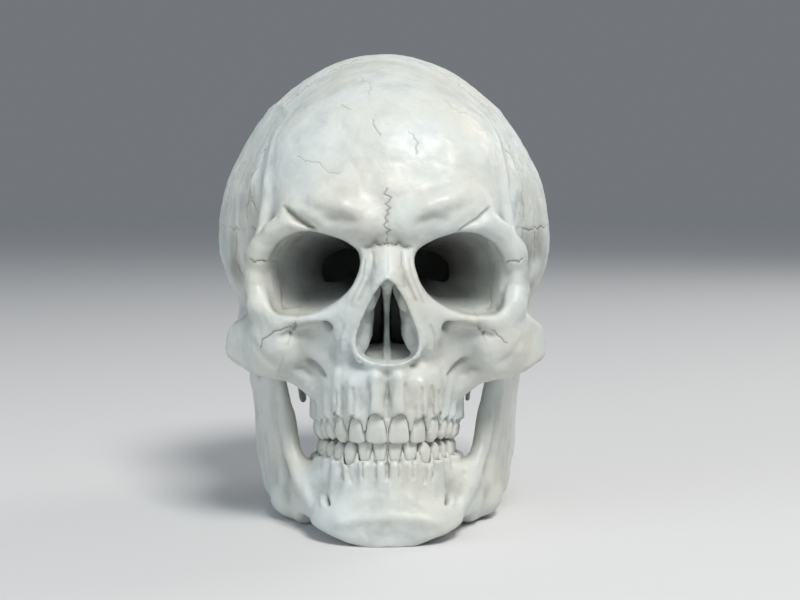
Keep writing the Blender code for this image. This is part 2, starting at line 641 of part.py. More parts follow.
def add_nasal_rim(clay):
    """A raised border round the nasal opening."""
    points = []
    for (u, v), along in zip(NASAL_OUTLINE_SHARES, NASAL_RIM_ALONG_SHARES):
        centre = spot((0, along, NASAL_CENTRE_SHARES[2]))
        points.append(centre + Vector((u * NASAL_BREADTH, 0, v * NASAL_HEIGHT)))
    clay.put(limb(points, [NASAL_RIM] * len(points)), NASAL_RIM, 1)


def in_nose(place):
    """A place in shares inside the nose, moved with the size of the nasal opening."""
    x, along, up = place
    middle = NASAL_CENTRE_SHARES[2]
    return (x * NASAL_BREADTH / (NASAL_BREADTH_SHARE * ACROSS), along,
            middle + (up - middle) * NASAL_HEIGHT / (NASAL_HEIGHT_SHARE * UP))


def nose_limb(shape):
    return shape._replace(path=tuple(in_nose(place) for place in shape.path))


def nose_blocks(blocks):
    """Regions of the bones inside the nose, moved with the size of the nasal opening."""
    moved = []
    for block in blocks:
        if block.axis == 0:
            outline = tuple(in_nose((0, along, up))[1:] for along, up in block.outline)
        else:
            outline = tuple(in_nose((x, 0, up))[::2] for x, up in block.outline)
        moved.append(block._replace(outline=outline))
    return moved


def carve_nose(clay):
    """The nasal cavity on both sides of the septum, with the scrolls that hang in it."""
    blend = SEPTUM_HALF_THICKNESS
    clay.put(beside_septum(funnel(nasal_outline(), NASAL_STATION_SHARES)), blend / 2, -1)
    for shape in NASAL_ROOF_SHARES:
        clay.put(beside_septum(limb_form(nose_limb(shape))), blend / 2, -1)
    clay.add([nose_limb(shape) for shape in CONCHA_SHARES])


def cut_jaw_socket(clay):
    """The hollow in which the jaw's condyle turns."""
    radii = (CONDYLE_BREADTH / 2 + FOSSA_CLEARANCE, CONDYLE_DEPTH / 2 + FOSSA_CLEARANCE,
             CONDYLE_DEPTH / 2 + FOSSA_CLEARANCE)
    socket = ellipsoid(spot(CONDYLE_SHARES), radii, rotation_of(CONDYLE_TURN))
    clay.put(socket, FOSSA_CLEARANCE, -1)


def cut_ear_canal(clay):
    ends = [spot(end) for end in EAR_CANAL_SHARES]
    clay.put(limb(ends, [EAR_CANAL / 2] * 2), FOSSA_CLEARANCE, -1)


def hollow_braincase(clay, outer):
    """Empty the braincase to an even wall, over a stepped floor, and open the great foramen."""
    x, y, z = np.ix_(*clay.axes)
    inner = outer + np.float32(VAULT_WALL)
    deep = outer + np.float32(BASE_WALL)
    floor = np.float32(HOLLOW_FRONT_FLOOR_SHARE * UP) - z
    hollow = -joined(-inner, -floor + np.zeros_like(inner), np.float32(BASE_WALL))
    for shape in HOLLOW_SHARES:
        distance = ball_form(shape)[2]
        hollow = joined(hollow, np.maximum(deep, distance(x, y, z)), np.float32(BASE_WALL))
    clay.field = -joined(-clay.field, hollow, np.float32(ORBIT_WALL))
    ends = [spot(end) for end in FORAMEN_MAGNUM_SHARES]
    squeeze = (1, FORAMEN_BREADTH / FORAMEN_LENGTH, 1)
    clay.put(limb(ends, [FORAMEN_BREADTH / 2] * 2, squeeze), ORBIT_WALL, -1)


def jaw_clay(cell_share=CELL_SHARE):
    """The lower jaw: body, chin, upright branches, coronoid processes and condyles."""
    clay = Clay(JAW_BOX_SHARES, cell_share)
    clay.add(JAW_BODY_SHARES)
    clay.add((RAMUS_SHARES,))
    clay.add(JAW_RIDGE_SHARES)
    radii = (CONDYLE_BREADTH / 2, CONDYLE_DEPTH / 2, CONDYLE_DEPTH / 2)
    condyle = ellipsoid(spot(CONDYLE_SHARES), radii, rotation_of(CONDYLE_TURN))
    clay.put(condyle, FOSSA_CLEARANCE, 1)
    clay.cut(MENTAL_HOLLOW_SHARES)
    add_tooth_ridge(clay, lower_row(), -1)
    clay.add(CHIN_SHARES)
    return clay


def new_object(name, mesh, collection):
    thing = bpy.data.objects.new(name, mesh)
    collection.objects.link(thing)
    return thing


def clay_object(name, clay, faces):
    """The clay and its mirror image as a closed mesh of about this many triangles."""
    whole = np.concatenate([clay.field[:0:-1], clay.field])
    corner = Vector((-clay.axes[0][-1], clay.low.y, clay.low.z))
    band = 3 * clay.cell
    grid = openvdb.FloatGrid(band)
    grid.copyFromArray(np.ascontiguousarray(np.clip(whole, -band, band)))
    points, triangles, quads = grid.convertToPolygons()
    mesh = bpy.data.meshes.new(name)
    mesh.from_pydata(points * clay.cell + np.array(corner), [], quads.tolist() + triangles.tolist())
    mesh.flip_normals()
    rough = new_object(name + "_rough", mesh, bpy.context.scene.collection)
    thin = rough.modifiers.new("Facets", "DECIMATE")
    thin.ratio = faces / (2 * len(quads) + len(triangles))
    return frozen(rough, name)


def frozen(thing, name):
    """The object's evaluated mesh as a plain object; the original is removed."""
    graph = bpy.context.evaluated_depsgraph_get()
    mesh = bpy.data.meshes.new_from_object(thing.evaluated_get(graph))
    mesh.name = name
    result = new_object(name, mesh, thing.users_collection[0])
    result.matrix_world = thing.matrix_world
    bpy.data.objects.remove(thing)
    return result


def combined(thing, cutter, operation, name):
    """A new object from a Boolean of two, which both stay."""
    copy = new_object(name + "_work", thing.data.copy(), thing.users_collection[0])
    copy.matrix_world = thing.matrix_world
    cut = copy.modifiers.new("Boolean", "BOOLEAN")
    cut.operation = operation
    cut.solver = "EXACT"
    cut.object = cutter
    return frozen(copy, name)


def islands(mesh):
    """Sets of connected faces, largest first."""
    mesh.verts.ensure_lookup_table()
    left = set(mesh.faces)
    groups = []
    while left:
        seed = left.pop()
        group, front = {seed}, [seed]
        while front:
            for edge in front.pop().edges:
                for face in edge.link_faces:
                    if face in left:
                        left.remove(face)
                        group.add(face)
                        front.append(face)
        groups.append(group)
    return sorted(groups, key=lambda group: -sum(face.calc_area() for face in group))


def largest_piece(thing, name, side, collection):
    """The biggest connected body on one side of the midline (side 0 takes either)."""
    mesh = bmesh.new()
    mesh.from_mesh(thing.data)
    for group in islands(mesh):
        middle = sum(face.calc_center_median().x * face.calc_area() for face in group)
        if side == 0 or middle * side > 0:
            break
    bmesh.ops.delete(mesh, geom=[face for face in mesh.faces if face not in group], context="FACES")
    return settled(name, mesh, collection)


def serrated(start, end):
    """Points of a suture's saw line between two places in parts, without its end."""
    start, end = Vector(start), Vector(end)
    run = (end - start) * PART
    count = max(2, 2 * round(run.length / SERRATION_PITCH))
    normal = Vector((-run.y, run.x)).normalized() * (SERRATION_DEPTH / 2 / PART)
    return [tuple(start.lerp(end, step / count) + normal * (step and (1 if step % 2 else -1)))
            for step in range(count)]


def serrated_outline(outline, chosen):
    """Fold the chosen edges of an outline into the saw line of a suture."""
    points = []
    for index, (start, end) in enumerate(zip(outline, outline[1:] + outline[:1])):
        points += serrated(start, end) if index in chosen else [start]
    return points


def grown_outline(points, gap):
    """The outline moved outwards by a gap; points run either way round."""
    area = sum(a[0] * b[1] - b[0] * a[1] for a, b in zip(points, points[1:] + points[:1]))
    outward = 1 if area > 0 else -1
    result = []
    for before, here, after in zip(points[-1:] + points[:-1], points, points[1:] + points[:1]):
        first = (Vector(here) - Vector(before)).normalized()
        second = (Vector(after) - Vector(here)).normalized()
        first, second = Vector((first.y, -first.x)), Vector((second.y, -second.x))
        normal = (first + second).normalized() * outward
        reach = gap / max(normal.dot(first) * outward, MITRE_SHARE)
        result.append(tuple(Vector(here) + normal * reach))
    return result


def level(axis, share):
    """A length along one axis from its share."""
    return spot([share if axis == number else 0 for number in range(3)])[axis]


def prism(rings):
    """A closed mesh between two matching rings of places."""
    mesh = bmesh.new()
    near, far = [[mesh.verts.new(place) for place in ring] for ring in rings]
    mesh.faces.new(reversed(near))
    mesh.faces.new(far)
    for index, (low, high) in enumerate(zip(near, far)):
        mesh.faces.new((near[index - 1], low, high, far[index - 1]))
    if mesh.calc_volume(signed=True) < 0:
        bmesh.ops.reverse_faces(mesh, faces=mesh.faces[:])
    return mesh


def block_mesh(block, gap, paired):
    """A straight prism over the block's outline, grown by a gap: one across both sides, or a pair."""
    flat = [axis for axis in range(3) if axis != block.axis]
    shares = serrated_outline(list(block.outline), block.serrated)
    points = [(level(flat[0], u), level(flat[1], v)) for u, v in shares]
    at_midline = block.low == 0 if block.axis == 0 else min(u for u, v in shares) == 0
    low, high = level(block.axis, block.low), level(block.axis, block.high)
    if at_midline and (gap or not paired):
        paired = False
        if block.axis == 0:
            low = -high
        else:
            points += [(-u, v) for u, v in reversed(points) if u > 0]
    elif at_midline and block.axis == 0:
        low = SUTURE_GAP / 2
    elif at_midline:
        points = [(max(u, SUTURE_GAP / 2), v) for u, v in points]
    points = grown_outline(points, gap)
    rings = []
    for end, sign, slant in ((low, -1, block.slant), (high, 1, 0)):
        ring = []
        for u, v in points:
            place = Vector((0, 0, 0))
            place[flat[0]], place[flat[1]] = u, v
            place[block.axis] = end + sign * gap + slant * (v - points[0][1])
            ring.append(place)
        rings.append(ring)
    mesh = prism(rings)
    if paired:
        copy = bmesh.ops.duplicate(mesh, geom=mesh.verts[:] + mesh.edges[:] + mesh.faces[:])["geom"]
        for vertex in (item for item in copy if isinstance(item, bmesh.types.BMVert)):
            vertex.co.x = -vertex.co.x
        faces = [item for item in copy if isinstance(item, bmesh.types.BMFace)]
        bmesh.ops.reverse_faces(mesh, faces=faces)
    return mesh


def settled(name, mesh, collection):
    """An object from a bmesh, which is freed."""
    data = bpy.data.meshes.new(name)
    mesh.to_mesh(data)
    mesh.free()
    return new_object(name, data, collection)


def block_object(name, blocks, gap, paired, cutters):
    """The blocks of one region as one closed cutter."""
    result = None
    for index, block in enumerate(blocks):
        thing = settled(f"{name}_region_{index}", block_mesh(block, gap, paired), cutters)
        result = thing if result is None else combined(result, thing, "UNION", name + "_region")
    return result


class Bench:
    """The cranium as it comes apart: each bone is taken from what is left."""

    def __init__(self, rest, pieces, cutters):
        self.rest, self.pieces, self.cutters = rest, pieces, cutters
        self.bones = []

    def take(self, name, cutter, wider, sides):
        """Take what lies in the cutter, and cut what is left back to the wider cutter."""
        part = combined(self.rest, cutter, "INTERSECT", name + "_part")
        rest = combined(self.rest, wider, "DIFFERENCE", "rest")
        bpy.data.objects.remove(self.rest)
        self.rest = rest
        for side, label in sides:
            self.bones.append(largest_piece(part, name + label, side, self.pieces))
        bpy.data.objects.remove(part)

    def take_blocks(self, name, blocks, paired):
        sides = PAIR if paired else SINGLE
        exact = block_object(name, blocks, 0, paired, self.cutters)
        wider = block_object(name + "_gap", blocks, SUTURE_GAP, paired, self.cutters)
        self.take(name, exact, wider, sides)


def coronal_region(gap, cutters):
    """Everything in front of the leaning, serrated coronal suture."""
    high_x, high_along, high_up = CRANIUM_BOX_SHARES[1]
    along, up = BREGMA_SHARES
    top, low = spot((0, *BREGMA_SHARES)), spot((0, *PTERION_SHARES))
    outline = ((high_x, along), (-high_x, along), (-high_x, -high_along), (high_x, -high_along))
    mesh = block_mesh(Block(2, outline, -high_up, high_up + up, 0, (0,)), gap, False)
    lean = math.atan2(top.y - low.y, top.z - low.z)
    turn = Matrix.Translation(top) @ Matrix.Rotation(-lean, 4, "X") @ Matrix.Translation(-top)
    bmesh.ops.transform(mesh, matrix=turn, verts=mesh.verts[:])
    return settled("coronal_region", mesh, cutters)


def sagittal_kerf(cutters):
    """The thin serrated sheet that parts the left parietal bone from the right."""
    start, end = ((0, along) for along in SAGITTAL_ALONG_SHARES)
    path = [(level(0, u), level(1, v)) for u, v in serrated(start, end) + [end]]
    half = SUTURE_GAP / 2
    points = [(x - half, y) for x, y in path] + [(x + half, y) for x, y in reversed(path)]
    rings = [[(x, y, level(2, corner[2])) for x, y in points] for corner in CRANIUM_BOX_SHARES]
    return settled("sagittal_kerf", prism(rings), cutters)


def tooth_form(name, side):
    """A tooth's rings, and how far its edge passes the biting plane."""
    if "incisor" in name:
        return INCISOR_RING_SHARES, UPPER_INCISOR_OVERBITE if side > 0 else LOWER_INCISOR_OVERBITE
    if "canine" in name:
        return CANINE_RING_SHARES, UPPER_CANINE_OVERBITE if side > 0 else LOWER_CANINE_OVERBITE
    return PREMOLAR_RING_SHARES if "premolar" in name else MOLAR_RING_SHARES, -BACK_TEETH_GAP


def tooth_mesh(tooth, place, side, sign_x, grow):
    """A tooth lofted through its rings. side is 1 above and -1 below; grow widens it into its socket."""
    x, y, turn = place
    rings, overbite = tooth_form(tooth.name, side)
    edge = bite_level(y) - side * overbite
    neck = edge + side * tooth.crown
    mesh = bmesh.new()
    loops = []
    for height, width, depth in rings:
        length = tooth.root if height < 0 else tooth.crown
        half_width = tooth.width / 2 * width - CROWN_GAP / 2 * (height >= 0) + grow
        half_depth = tooth.depth / 2 * depth + grow
        end_grow = grow if height in (rings[0][0], rings[-1][0]) else 0
        z = neck - side * (height * length + math.copysign(end_grow, height))
        inward = tooth.root * RIDGE_LEAN_SHARE * max(-height, 0)
        centre = Vector((x - math.sin(turn) * inward, y + math.cos(turn) * inward, z))
        loop = []
        for step in range(TOOTH_SIDES):
            angle = 2 * math.pi * step / TOOTH_SIDES
            u, v = half_width * math.cos(angle), half_depth * math.sin(angle)
            point = centre + Vector((u * math.cos(turn) - v * math.sin(turn),
                                     u * math.sin(turn) + v * math.cos(turn), 0))
            point.x *= sign_x
            loop.append(mesh.verts.new(point))
        loops.append(loop)
    mesh.faces.new(loops[0])
    mesh.faces.new(loops[-1])
    for lower, upper in zip(loops[:-1], loops[1:]):
        for step in range(TOOTH_SIDES):
            after = (step + 1) % TOOTH_SIDES
            mesh.faces.new((lower[step], lower[after], upper[after], upper[step]))
    bmesh.ops.recalc_face_normals(mesh, faces=mesh.faces[:])
    return mesh


def tooth_row(side):
    """Name, tooth, place and side of the mouth of every tooth in a row."""
    row, jaw = (upper_row(), "upper") if side > 0 else (lower_row(), "lower")
    for tooth, place in row:
        for sign_x, label in ((1, "left"), (-1, "right")):
            yield f"{jaw}_{label}_{tooth.name}", tooth, place, sign_x


def make_teeth(side, pieces):
    teeth = []
    for name, tooth, place, sign_x in tooth_row(side):
        teeth.append(settled(name, tooth_mesh(tooth, place, side, sign_x, 0), pieces))
    return teeth


def sockets(side, cutters):
    """All the sockets of a row as one cutter."""
    result = None
    for name, tooth, place, sign_x in tooth_row(side):
        socket = settled(name + "_socket", tooth_mesh(tooth, place, side, sign_x, SOCKET_GAP), cutters)
        result = socket if result is None else combined(result, socket, "UNION", "sockets")
    return result


def table_block(cutters):
    """All the room below the table, which cuts the jaw's lower border flat where it stands."""
    low, high = (spot(corner) for corner in JAW_BOX_SHARES)
    mesh = bmesh.new()
    bmesh.ops.create_cube(mesh, size=1)
    bmesh.ops.scale(mesh, vec=(2 * high.x, high.y - low.y, -low.z), verts=mesh.verts[:])
    bmesh.ops.translate(mesh, vec=(0, (high.y + low.y) / 2, low.z / 2), verts=mesh.verts[:])
    return settled("table_block", mesh, cutters)


def part_cranium(rest, pieces, cutters):
    """Part the cranium into its bones, from the face back."""
    bench = Bench(rest, pieces, cutters)
    bench.take_blocks("zygomatic_bone", ZYGOMATIC_SHARES, True)
    bench.take_blocks("lacrimal_bone", LACRIMAL_SHARES, True)
    bench.take_blocks("inferior_concha", nose_blocks(CONCHA_REGION_SHARES), True)
    bench.take_blocks("vomer", nose_blocks(VOMER_SHARES), False)
    bench.take_blocks("ethmoid_bone", nose_blocks(ETHMOID_SHARES), False)
    bench.take_blocks("sphenoid_bone", SPHENOID_SHARES, False)
    bench.take_blocks("nasal_bone", NASAL_SHARES, True)
    bench.take_blocks("palatine_bone", PALATINE_SHARES, True)
    bench.take_blocks("maxilla", MAXILLA_SHARES, True)
    bench.take("frontal_bone", coronal_region(0, cutters), coronal_region(SUTURE_GAP, cutters), SINGLE)
    bench.take_blocks("occipital_bone", OCCIPITAL_SHARES, False)
    bench.take_blocks("temporal_bone", TEMPORAL_SHARES, True)
    halves = combined(bench.rest, sagittal_kerf(cutters), "DIFFERENCE", "halves")
    bpy.data.objects.remove(bench.rest)
    for side, label in PAIR:
        bench.bones.append(largest_piece(halves, "parietal_bone" + label, side, pieces))
    bpy.data.objects.remove(halves)
    return bench.bones


def bone_material(name, colour, roughness):
    material = bpy.data.materials.new(name)
    material.use_nodes = True
    shader = material.node_tree.nodes["Principled BSDF"]
    shader.inputs["Base Color"].default_value = (*colour, 1)
    shader.inputs["Roughness"].default_value = roughness
    shader.inputs["Metallic"].default_value = 0
    return material


def finish(thing, parent, colour, roughness):
    """Give a piece its own origin, material, facet shading and parent."""
    corners = [vertex.co for vertex in thing.data.vertices]
    low = Vector([min(corner[axis] for corner in corners) for axis in range(3)])
    high = Vector([max(corner[axis] for corner in corners) for axis in range(3)])
    centre = parent.location if thing.name == "mandible" else (low + high) / 2
    thing.data.transform(Matrix.Translation(-centre))
    thing.location = centre
    thing.data.materials.clear()
    thing.data.materials.append(bone_material(thing.name, colour, roughness))
    thing.data.shade_smooth()
    thing.data.set_sharp_from_angle(angle=math.radians(SMOOTH_DEGREES))
    thing.parent = parent
    thing.matrix_parent_inverse = Matrix.Translation(-parent.location)


def empty(name, location, collection):
    holder = new_object(name, None, collection)
    holder.location = location
    holder.empty_display_size = CONDYLE_BREADTH
    return holder


def stand_over_origin(holders):
    """Slide the skull along Y until it stands over the origin."""
    things = [thing for holder in holders for thing in holder.children]
    bpy.context.view_layer.update()
    alongs = [(thing.matrix_world @ vertex.co).y for thing in things for vertex in thing.data.vertices]
    for holder in holders:
        holder.location.y -= (min(alongs) + max(alongs)) / 2


def main():
    for thing in list(bpy.data.objects):
        bpy.data.objects.remove(thing)
    scene = bpy.context.scene.collection
    pieces = bpy.data.collections.new("skull")
    cutters = bpy.data.collections.new("cutters")
    scene.children.link(pieces)
    scene.children.link(cutters)
    cranium = clay_object("cranium_bone", cranium_clay(), CRANIUM_FACES)
    cranium_rest = combined(cranium, sockets(1, cutters), "DIFFERENCE", "rest")
    bpy.data.objects.remove(cranium)
    bones = part_cranium(cranium_rest, pieces, cutters)
    jaw = clay_object("jaw_bone", jaw_clay(), JAW_FACES)
    jaw_open = combined(jaw, sockets(-1, cutters), "DIFFERENCE", "jaw_open")
    jaw_flat = combined(jaw_open, table_block(cutters), "DIFFERENCE", "jaw_flat")
    mandible = largest_piece(jaw_flat, "mandible", 0, pieces)
    for thing in (jaw, jaw_open, jaw_flat):
        bpy.data.objects.remove(thing)
    upper, lower = make_teeth(1, pieces), make_teeth(-1, pieces)
    hinge = spot(CONDYLE_SHARES)
    hinge.x = 0
    cranium_holder = empty("cranium", Vector((0, 0, 0)), pieces)
    jaw_holder = empty("jaw_hinge", hinge, pieces)
    for thing in bones:
        finish(thing, cranium_holder, BONE_COLOUR, BONE_ROUGHNESS)
    for thing in upper:
        finish(thing, cranium_holder, TOOTH_COLOUR, TOOTH_ROUGHNESS)
    finish(mandible, jaw_holder, BONE_COLOUR, BONE_ROUGHNESS)
    for thing in lower:
        finish(thing, jaw_holder, TOOTH_COLOUR, TOOTH_ROUGHNESS)
    stand_over_origin((cranium_holder, jaw_holder))
    for thing in cutters.objects:
        thing.hide_render = True
        thing.display_type = "WIRE"


if __name__ == "__main__":
    main()
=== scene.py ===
"""Looks for the human skull: fine bone, teeth, materials, floor, lights and camera.

Each bone is sculpted again at a fine grain from signed distances, in millimetres, and stands for its plain
solid. x is across from the midline, y runs back and z up; tables give the depth behind the nasal root, not y.
"""

from collections import namedtuple
import json
import math

import bmesh
import bpy
from mathutils import Matrix, Vector
import numpy as np
import openvdb


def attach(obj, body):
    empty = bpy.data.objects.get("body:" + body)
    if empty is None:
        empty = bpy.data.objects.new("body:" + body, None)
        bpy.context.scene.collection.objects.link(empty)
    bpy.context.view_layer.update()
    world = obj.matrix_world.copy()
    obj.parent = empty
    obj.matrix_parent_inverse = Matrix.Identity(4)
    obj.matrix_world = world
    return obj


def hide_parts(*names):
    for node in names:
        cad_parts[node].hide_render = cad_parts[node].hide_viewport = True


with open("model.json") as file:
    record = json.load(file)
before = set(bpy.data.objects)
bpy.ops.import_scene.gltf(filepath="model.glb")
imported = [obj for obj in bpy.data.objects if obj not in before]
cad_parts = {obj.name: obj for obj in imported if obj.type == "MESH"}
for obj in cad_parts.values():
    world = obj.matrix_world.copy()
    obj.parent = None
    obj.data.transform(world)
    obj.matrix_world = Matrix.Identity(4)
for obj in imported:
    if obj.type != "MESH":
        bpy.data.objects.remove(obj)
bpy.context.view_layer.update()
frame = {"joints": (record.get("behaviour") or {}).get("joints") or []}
F = np.float32
MM = 0.001
# Depth of the skull's middle and of the jaw's hinge behind the nasal root
MIDDLE = 84.5
HINGE_DEPTH = 75.0
SHIFT = frame["joints"][0]["pos_m"][1] / MM - (HINGE_DEPTH - MIDDLE)
CELL = 0.75
TOOTH_CELL = 0.4
FAR = 30.0

Ball = namedtuple("Ball", "at radii turn roundness blend", defaults=((0, 0, 0), 2.0, 0))
Limb = namedtuple("Limb", "path radii squeeze blend", defaults=((1, 1, 1), 0))
Plate = namedtuple("Plate", "at outline turn half_thickness rim blend across", defaults=(0, 0))
Block = namedtuple("Block", "axis outline low high slant serrated", defaults=(0, ()))
Tooth = namedtuple("Tooth", "name width depth crown root")


def spot(place):
    """A table's place (across, depth, up) as x, y, z in millimetres."""
    return np.array((place[0], place[1] - MIDDLE, place[2]), float)


def turned(degrees):
    """Rotation about x, then y, then z, or None for none."""
    if not any(degrees):
        return None
    x, y, z = (Matrix.Rotation(math.radians(angle), 3, axis) for angle, axis in zip(degrees, "XYZ"))
    return np.array(z @ y @ x)


def local(point, centre, rotation):
    """A point in a form's own axes."""
    offset = [p - F(c) for p, c in zip(point, centre)]
    if rotation is None:
        return offset
    return [sum(F(rotation[row][axis]) * offset[row] for row in range(3)) for axis in range(3)]


def joined(a, b, blend):
    """Union of two signed distances with a fillet."""
    if blend <= 0:
        return np.minimum(a, b)
    near = np.maximum(F(blend) - np.abs(a - b), 0) * F(1 / blend)
    return np.minimum(a, b) - near * near * F(blend / 4)


def rising(value, start, run):
    """Share from 0 to 1 as a value passes the start and goes on over the run."""
    return np.clip((value - start) / run, 0, 1)


def falling(value, end, run):
    """Share from 1 to 0 as a value comes up to the end over the run."""
    return np.clip((end - value) / run, 0, 1)


class Clay:
    """Signed distances on a grid; below zero is bone."""

    def __init__(self, low, high, cell):
        self.cell = cell
        self.low = np.array(low, float)
        counts = [int(round((b - a) / cell)) + 1 for a, b in zip(low, high)]
        self.axes = [(a + cell * np.arange(count)).astype(F) for a, count in zip(low, counts)]
        self.field = np.full(counts, FAR, F)

    def window(self, low, high, margin):
        slices = []
        for axis, a, b in zip(self.axes, low, high):
            first, last = np.searchsorted(axis, (a - margin, b + margin))
            slices.append(slice(int(first), int(last)))
        return tuple(slices), np.ix_(*(axis[part] for axis, part in zip(self.axes, slices)))

    def put(self, form, blend, sign):
        """Join a form to the bone (sign 1) or cut it away (sign -1)."""
        low, high, distance = form
        slices, grid = self.window(low, high, blend + 4 * self.cell)
        if self.field[slices].size:
            self.field[slices] = sign * joined(sign * self.field[slices], distance(*grid), blend)

    def add(self, shapes):
        for shape in shapes:
            self.put(MAKERS[type(shape)](shape), shape.blend, 1)

    def cut(self, shapes):
        for shape in shapes:
            self.put(MAKERS[type(shape)](shape), shape.blend, -1)


def ellipsoid(centre, radii, rotation=None, power=2.0):
    """Radii are (across, along, up) or (across, front, back, up, down)."""
    if len(radii) == 3:
        radii = (radii[0], radii[1], radii[1], radii[2], radii[2])
    across, front, back, up, down = radii

    def distance(x, y, z):
        u, v, w = local((x, y, z), centre, rotation)
        scales = (F(1 / across), np.where(v < 0, F(1 / front), F(1 / back)),
                  np.where(w < 0, F(1 / down), F(1 / up)))
        if power == 2.0:
            squares = [(value * scale) ** 2 for value, scale in zip((u, v, w), scales)]
            total = squares[0] + squares[1] + squares[2] + F(1e-12)
            slope = sum(square * scale ** 2 for square, scale in zip(squares, scales))
            length = np.sqrt(total)
            return (length - 1) * length / np.sqrt(np.maximum(slope, F(1e-12)))
        ratios = [np.abs(value) * scale for value, scale in zip((u, v, w), scales)]
        total = sum(ratio ** F(power) for ratio in ratios) + F(1e-12)
        slope = sum((ratio ** F(power - 1) * scale) ** 2 for ratio, scale in zip(ratios, scales))
        steep = total ** F(1 / power - 1) * np.sqrt(slope)
        return (total ** F(1 / power) - 1) / np.maximum(steep, F(1 / max(radii)))

    if rotation is None:
        low, high = np.array((across, front, down)), np.array((across, back, up))
    else:
        low = high = np.abs(rotation) @ np.array((across, max(front, back), max(up, down)))
    return centre - low, centre + high, distance


def ball_form(shape):
    return ellipsoid(spot(shape.at), shape.radii, turned(shape.turn), shape.roundness)


def limb(points, radii, squeeze=(1, 1, 1)):
    """A round-ended limb through points; a squeeze over 1 thins it along that axis."""
    points = np.array([tuple(point) for point in points], float)
    path = points * squeeze
    plain = tuple(squeeze) == (1, 1, 1)

    def distance(x, y, z):
        best = None
        place = [value * F(s) for value, s in zip((x, y, z), squeeze)]
        for start, end, near, far in zip(path[:-1], path[1:], radii[:-1], radii[1:]):
            run = (end - start).astype(F)
            offset = [value - F(a) for value, a in zip(place, start)]
            share = (offset[0] * run[0] + offset[1] * run[1] + offset[2] * run[2]) * F(1 / (run @ run + 1e-9))
            share = np.clip(share, 0, 1)
            gap = [o - share * r for o, r in zip(offset, run)]
            squares = [g * g for g in gap]
            length = np.sqrt(squares[0] + squares[1] + squares[2]) + F(1e-6)
            value = length - (F(near) + share * F(far - near))
            if not plain:
                steep = np.sqrt(sum(q * F(s * s) for q, s in zip(squares, squeeze))) + F(1e-6)
                value = value * length / steep
            best = value if best is None else np.minimum(best, value)
        return best

    reach = max(radii) / np.array(squeeze, float)
    return points.min(0) - reach, points.max(0) + reach, distance


def limb_form(shape):
    return limb([spot(point) for point in shape.path], shape.radii, shape.squeeze)


def curved(outline, steps=3):
    """A closed outline made smooth through its points."""
    here = np.array(outline, float)
    before, after, beyond = np.roll(here, 1, 0), np.roll(here, -1, 0), np.roll(here, -2, 0)
    curve = []
    for step in range(steps):
        t = step / steps
        curve.append(here + (after - before) * t / 2
                     + (2 * before - 5 * here + 4 * after - beyond) * t ** 2 / 2
                     + (3 * here - before - 3 * after + beyond) * t ** 3 / 2)
    return np.stack(curve, 1).reshape(-1, 2)


def outline_distance(u, v, outline):
    """Signed distance to a closed outline, below zero inside."""
    nearest, inside = None, False
    for (ax, ay), (bx, by) in zip(outline, np.roll(outline, -1, 0)):
        run_x, run_y = F(bx - ax), F(by - ay)
        off_x, off_y = u - F(ax), v - F(ay)
        share = np.clip((off_x * run_x + off_y * run_y) / (run_x * run_x + run_y * run_y + F(1e-12)), 0, 1)
        gap = (off_x - share * run_x) ** 2 + (off_y - share * run_y) ** 2
        nearest = gap if nearest is None else np.minimum(nearest, gap)
        spans = (v >= F(ay)) != (v >= F(by))
        inside = inside ^ (spans & ((off_x * run_y < off_y * run_x) == (run_y > 0)))
    return np.where(inside, F(-1), F(1)) * np.sqrt(nearest)


def plate_form(shape):
    """A flat piece with a rounded rim; its outline lies in the two axes other than its thickness."""
    flat = [axis for axis in range(3) if axis != shape.across]
    outline = curved(shape.outline)
    centre, rotation = spot(shape.at), turned(shape.turn)

    def distance(x, y, z):
        point = local((x, y, z), centre, rotation)
        edge = outline_distance(point[flat[0]], point[flat[1]], outline) + F(shape.rim)
        face = np.abs(point[shape.across]) - F(shape.half_thickness - shape.rim)
        outer = np.sqrt(np.maximum(edge, 0) ** 2 + np.maximum(face, 0) ** 2)
        return outer + np.minimum(np.maximum(edge, face), 0) - F(shape.rim)

    corners = []
    for u, v in outline:
        for side in (-shape.half_thickness, shape.half_thickness):
            corner = np.zeros(3)
            corner[flat[0]], corner[flat[1]], corner[shape.across] = u, v, side
            corners.append(corner if rotation is None else rotation @ corner)
    corners = np.array(corners) + centre
    return corners.min(0), corners.max(0), distance


def funnel(outline, stations, widen=0.0):
    """An outline across and up, carried along the stations and scaled at each."""
    table = np.array(stations, float)
    alongs = table[:, 0] - MIDDLE

    def distance(x, y, z):
        centre_x, centre_z, scale = (np.interp(y, alongs, table[:, column]).astype(F) for column in (1, 2, 3))
        u, v = np.broadcast_arrays((x - centre_x) / scale, (z - centre_z) / scale)
        side = outline_distance(u, v, outline) * scale - F(widen)
        return np.maximum(side, np.maximum(F(alongs[0]) - y, y - F(alongs[-1])))

    reach = np.abs(outline).max(0)[:, None] * table[:, 3]
    low = np.array(((table[:, 1] - reach[0]).min(), alongs[0], (table[:, 2] - reach[1]).min())) - widen
    high = np.array(((table[:, 1] + reach[0]).max(), alongs[-1], (table[:, 2] + reach[1]).max())) + widen
    return low, high, distance


MAKERS = {Ball: ball_form, Limb: limb_form, Plate: plate_form}


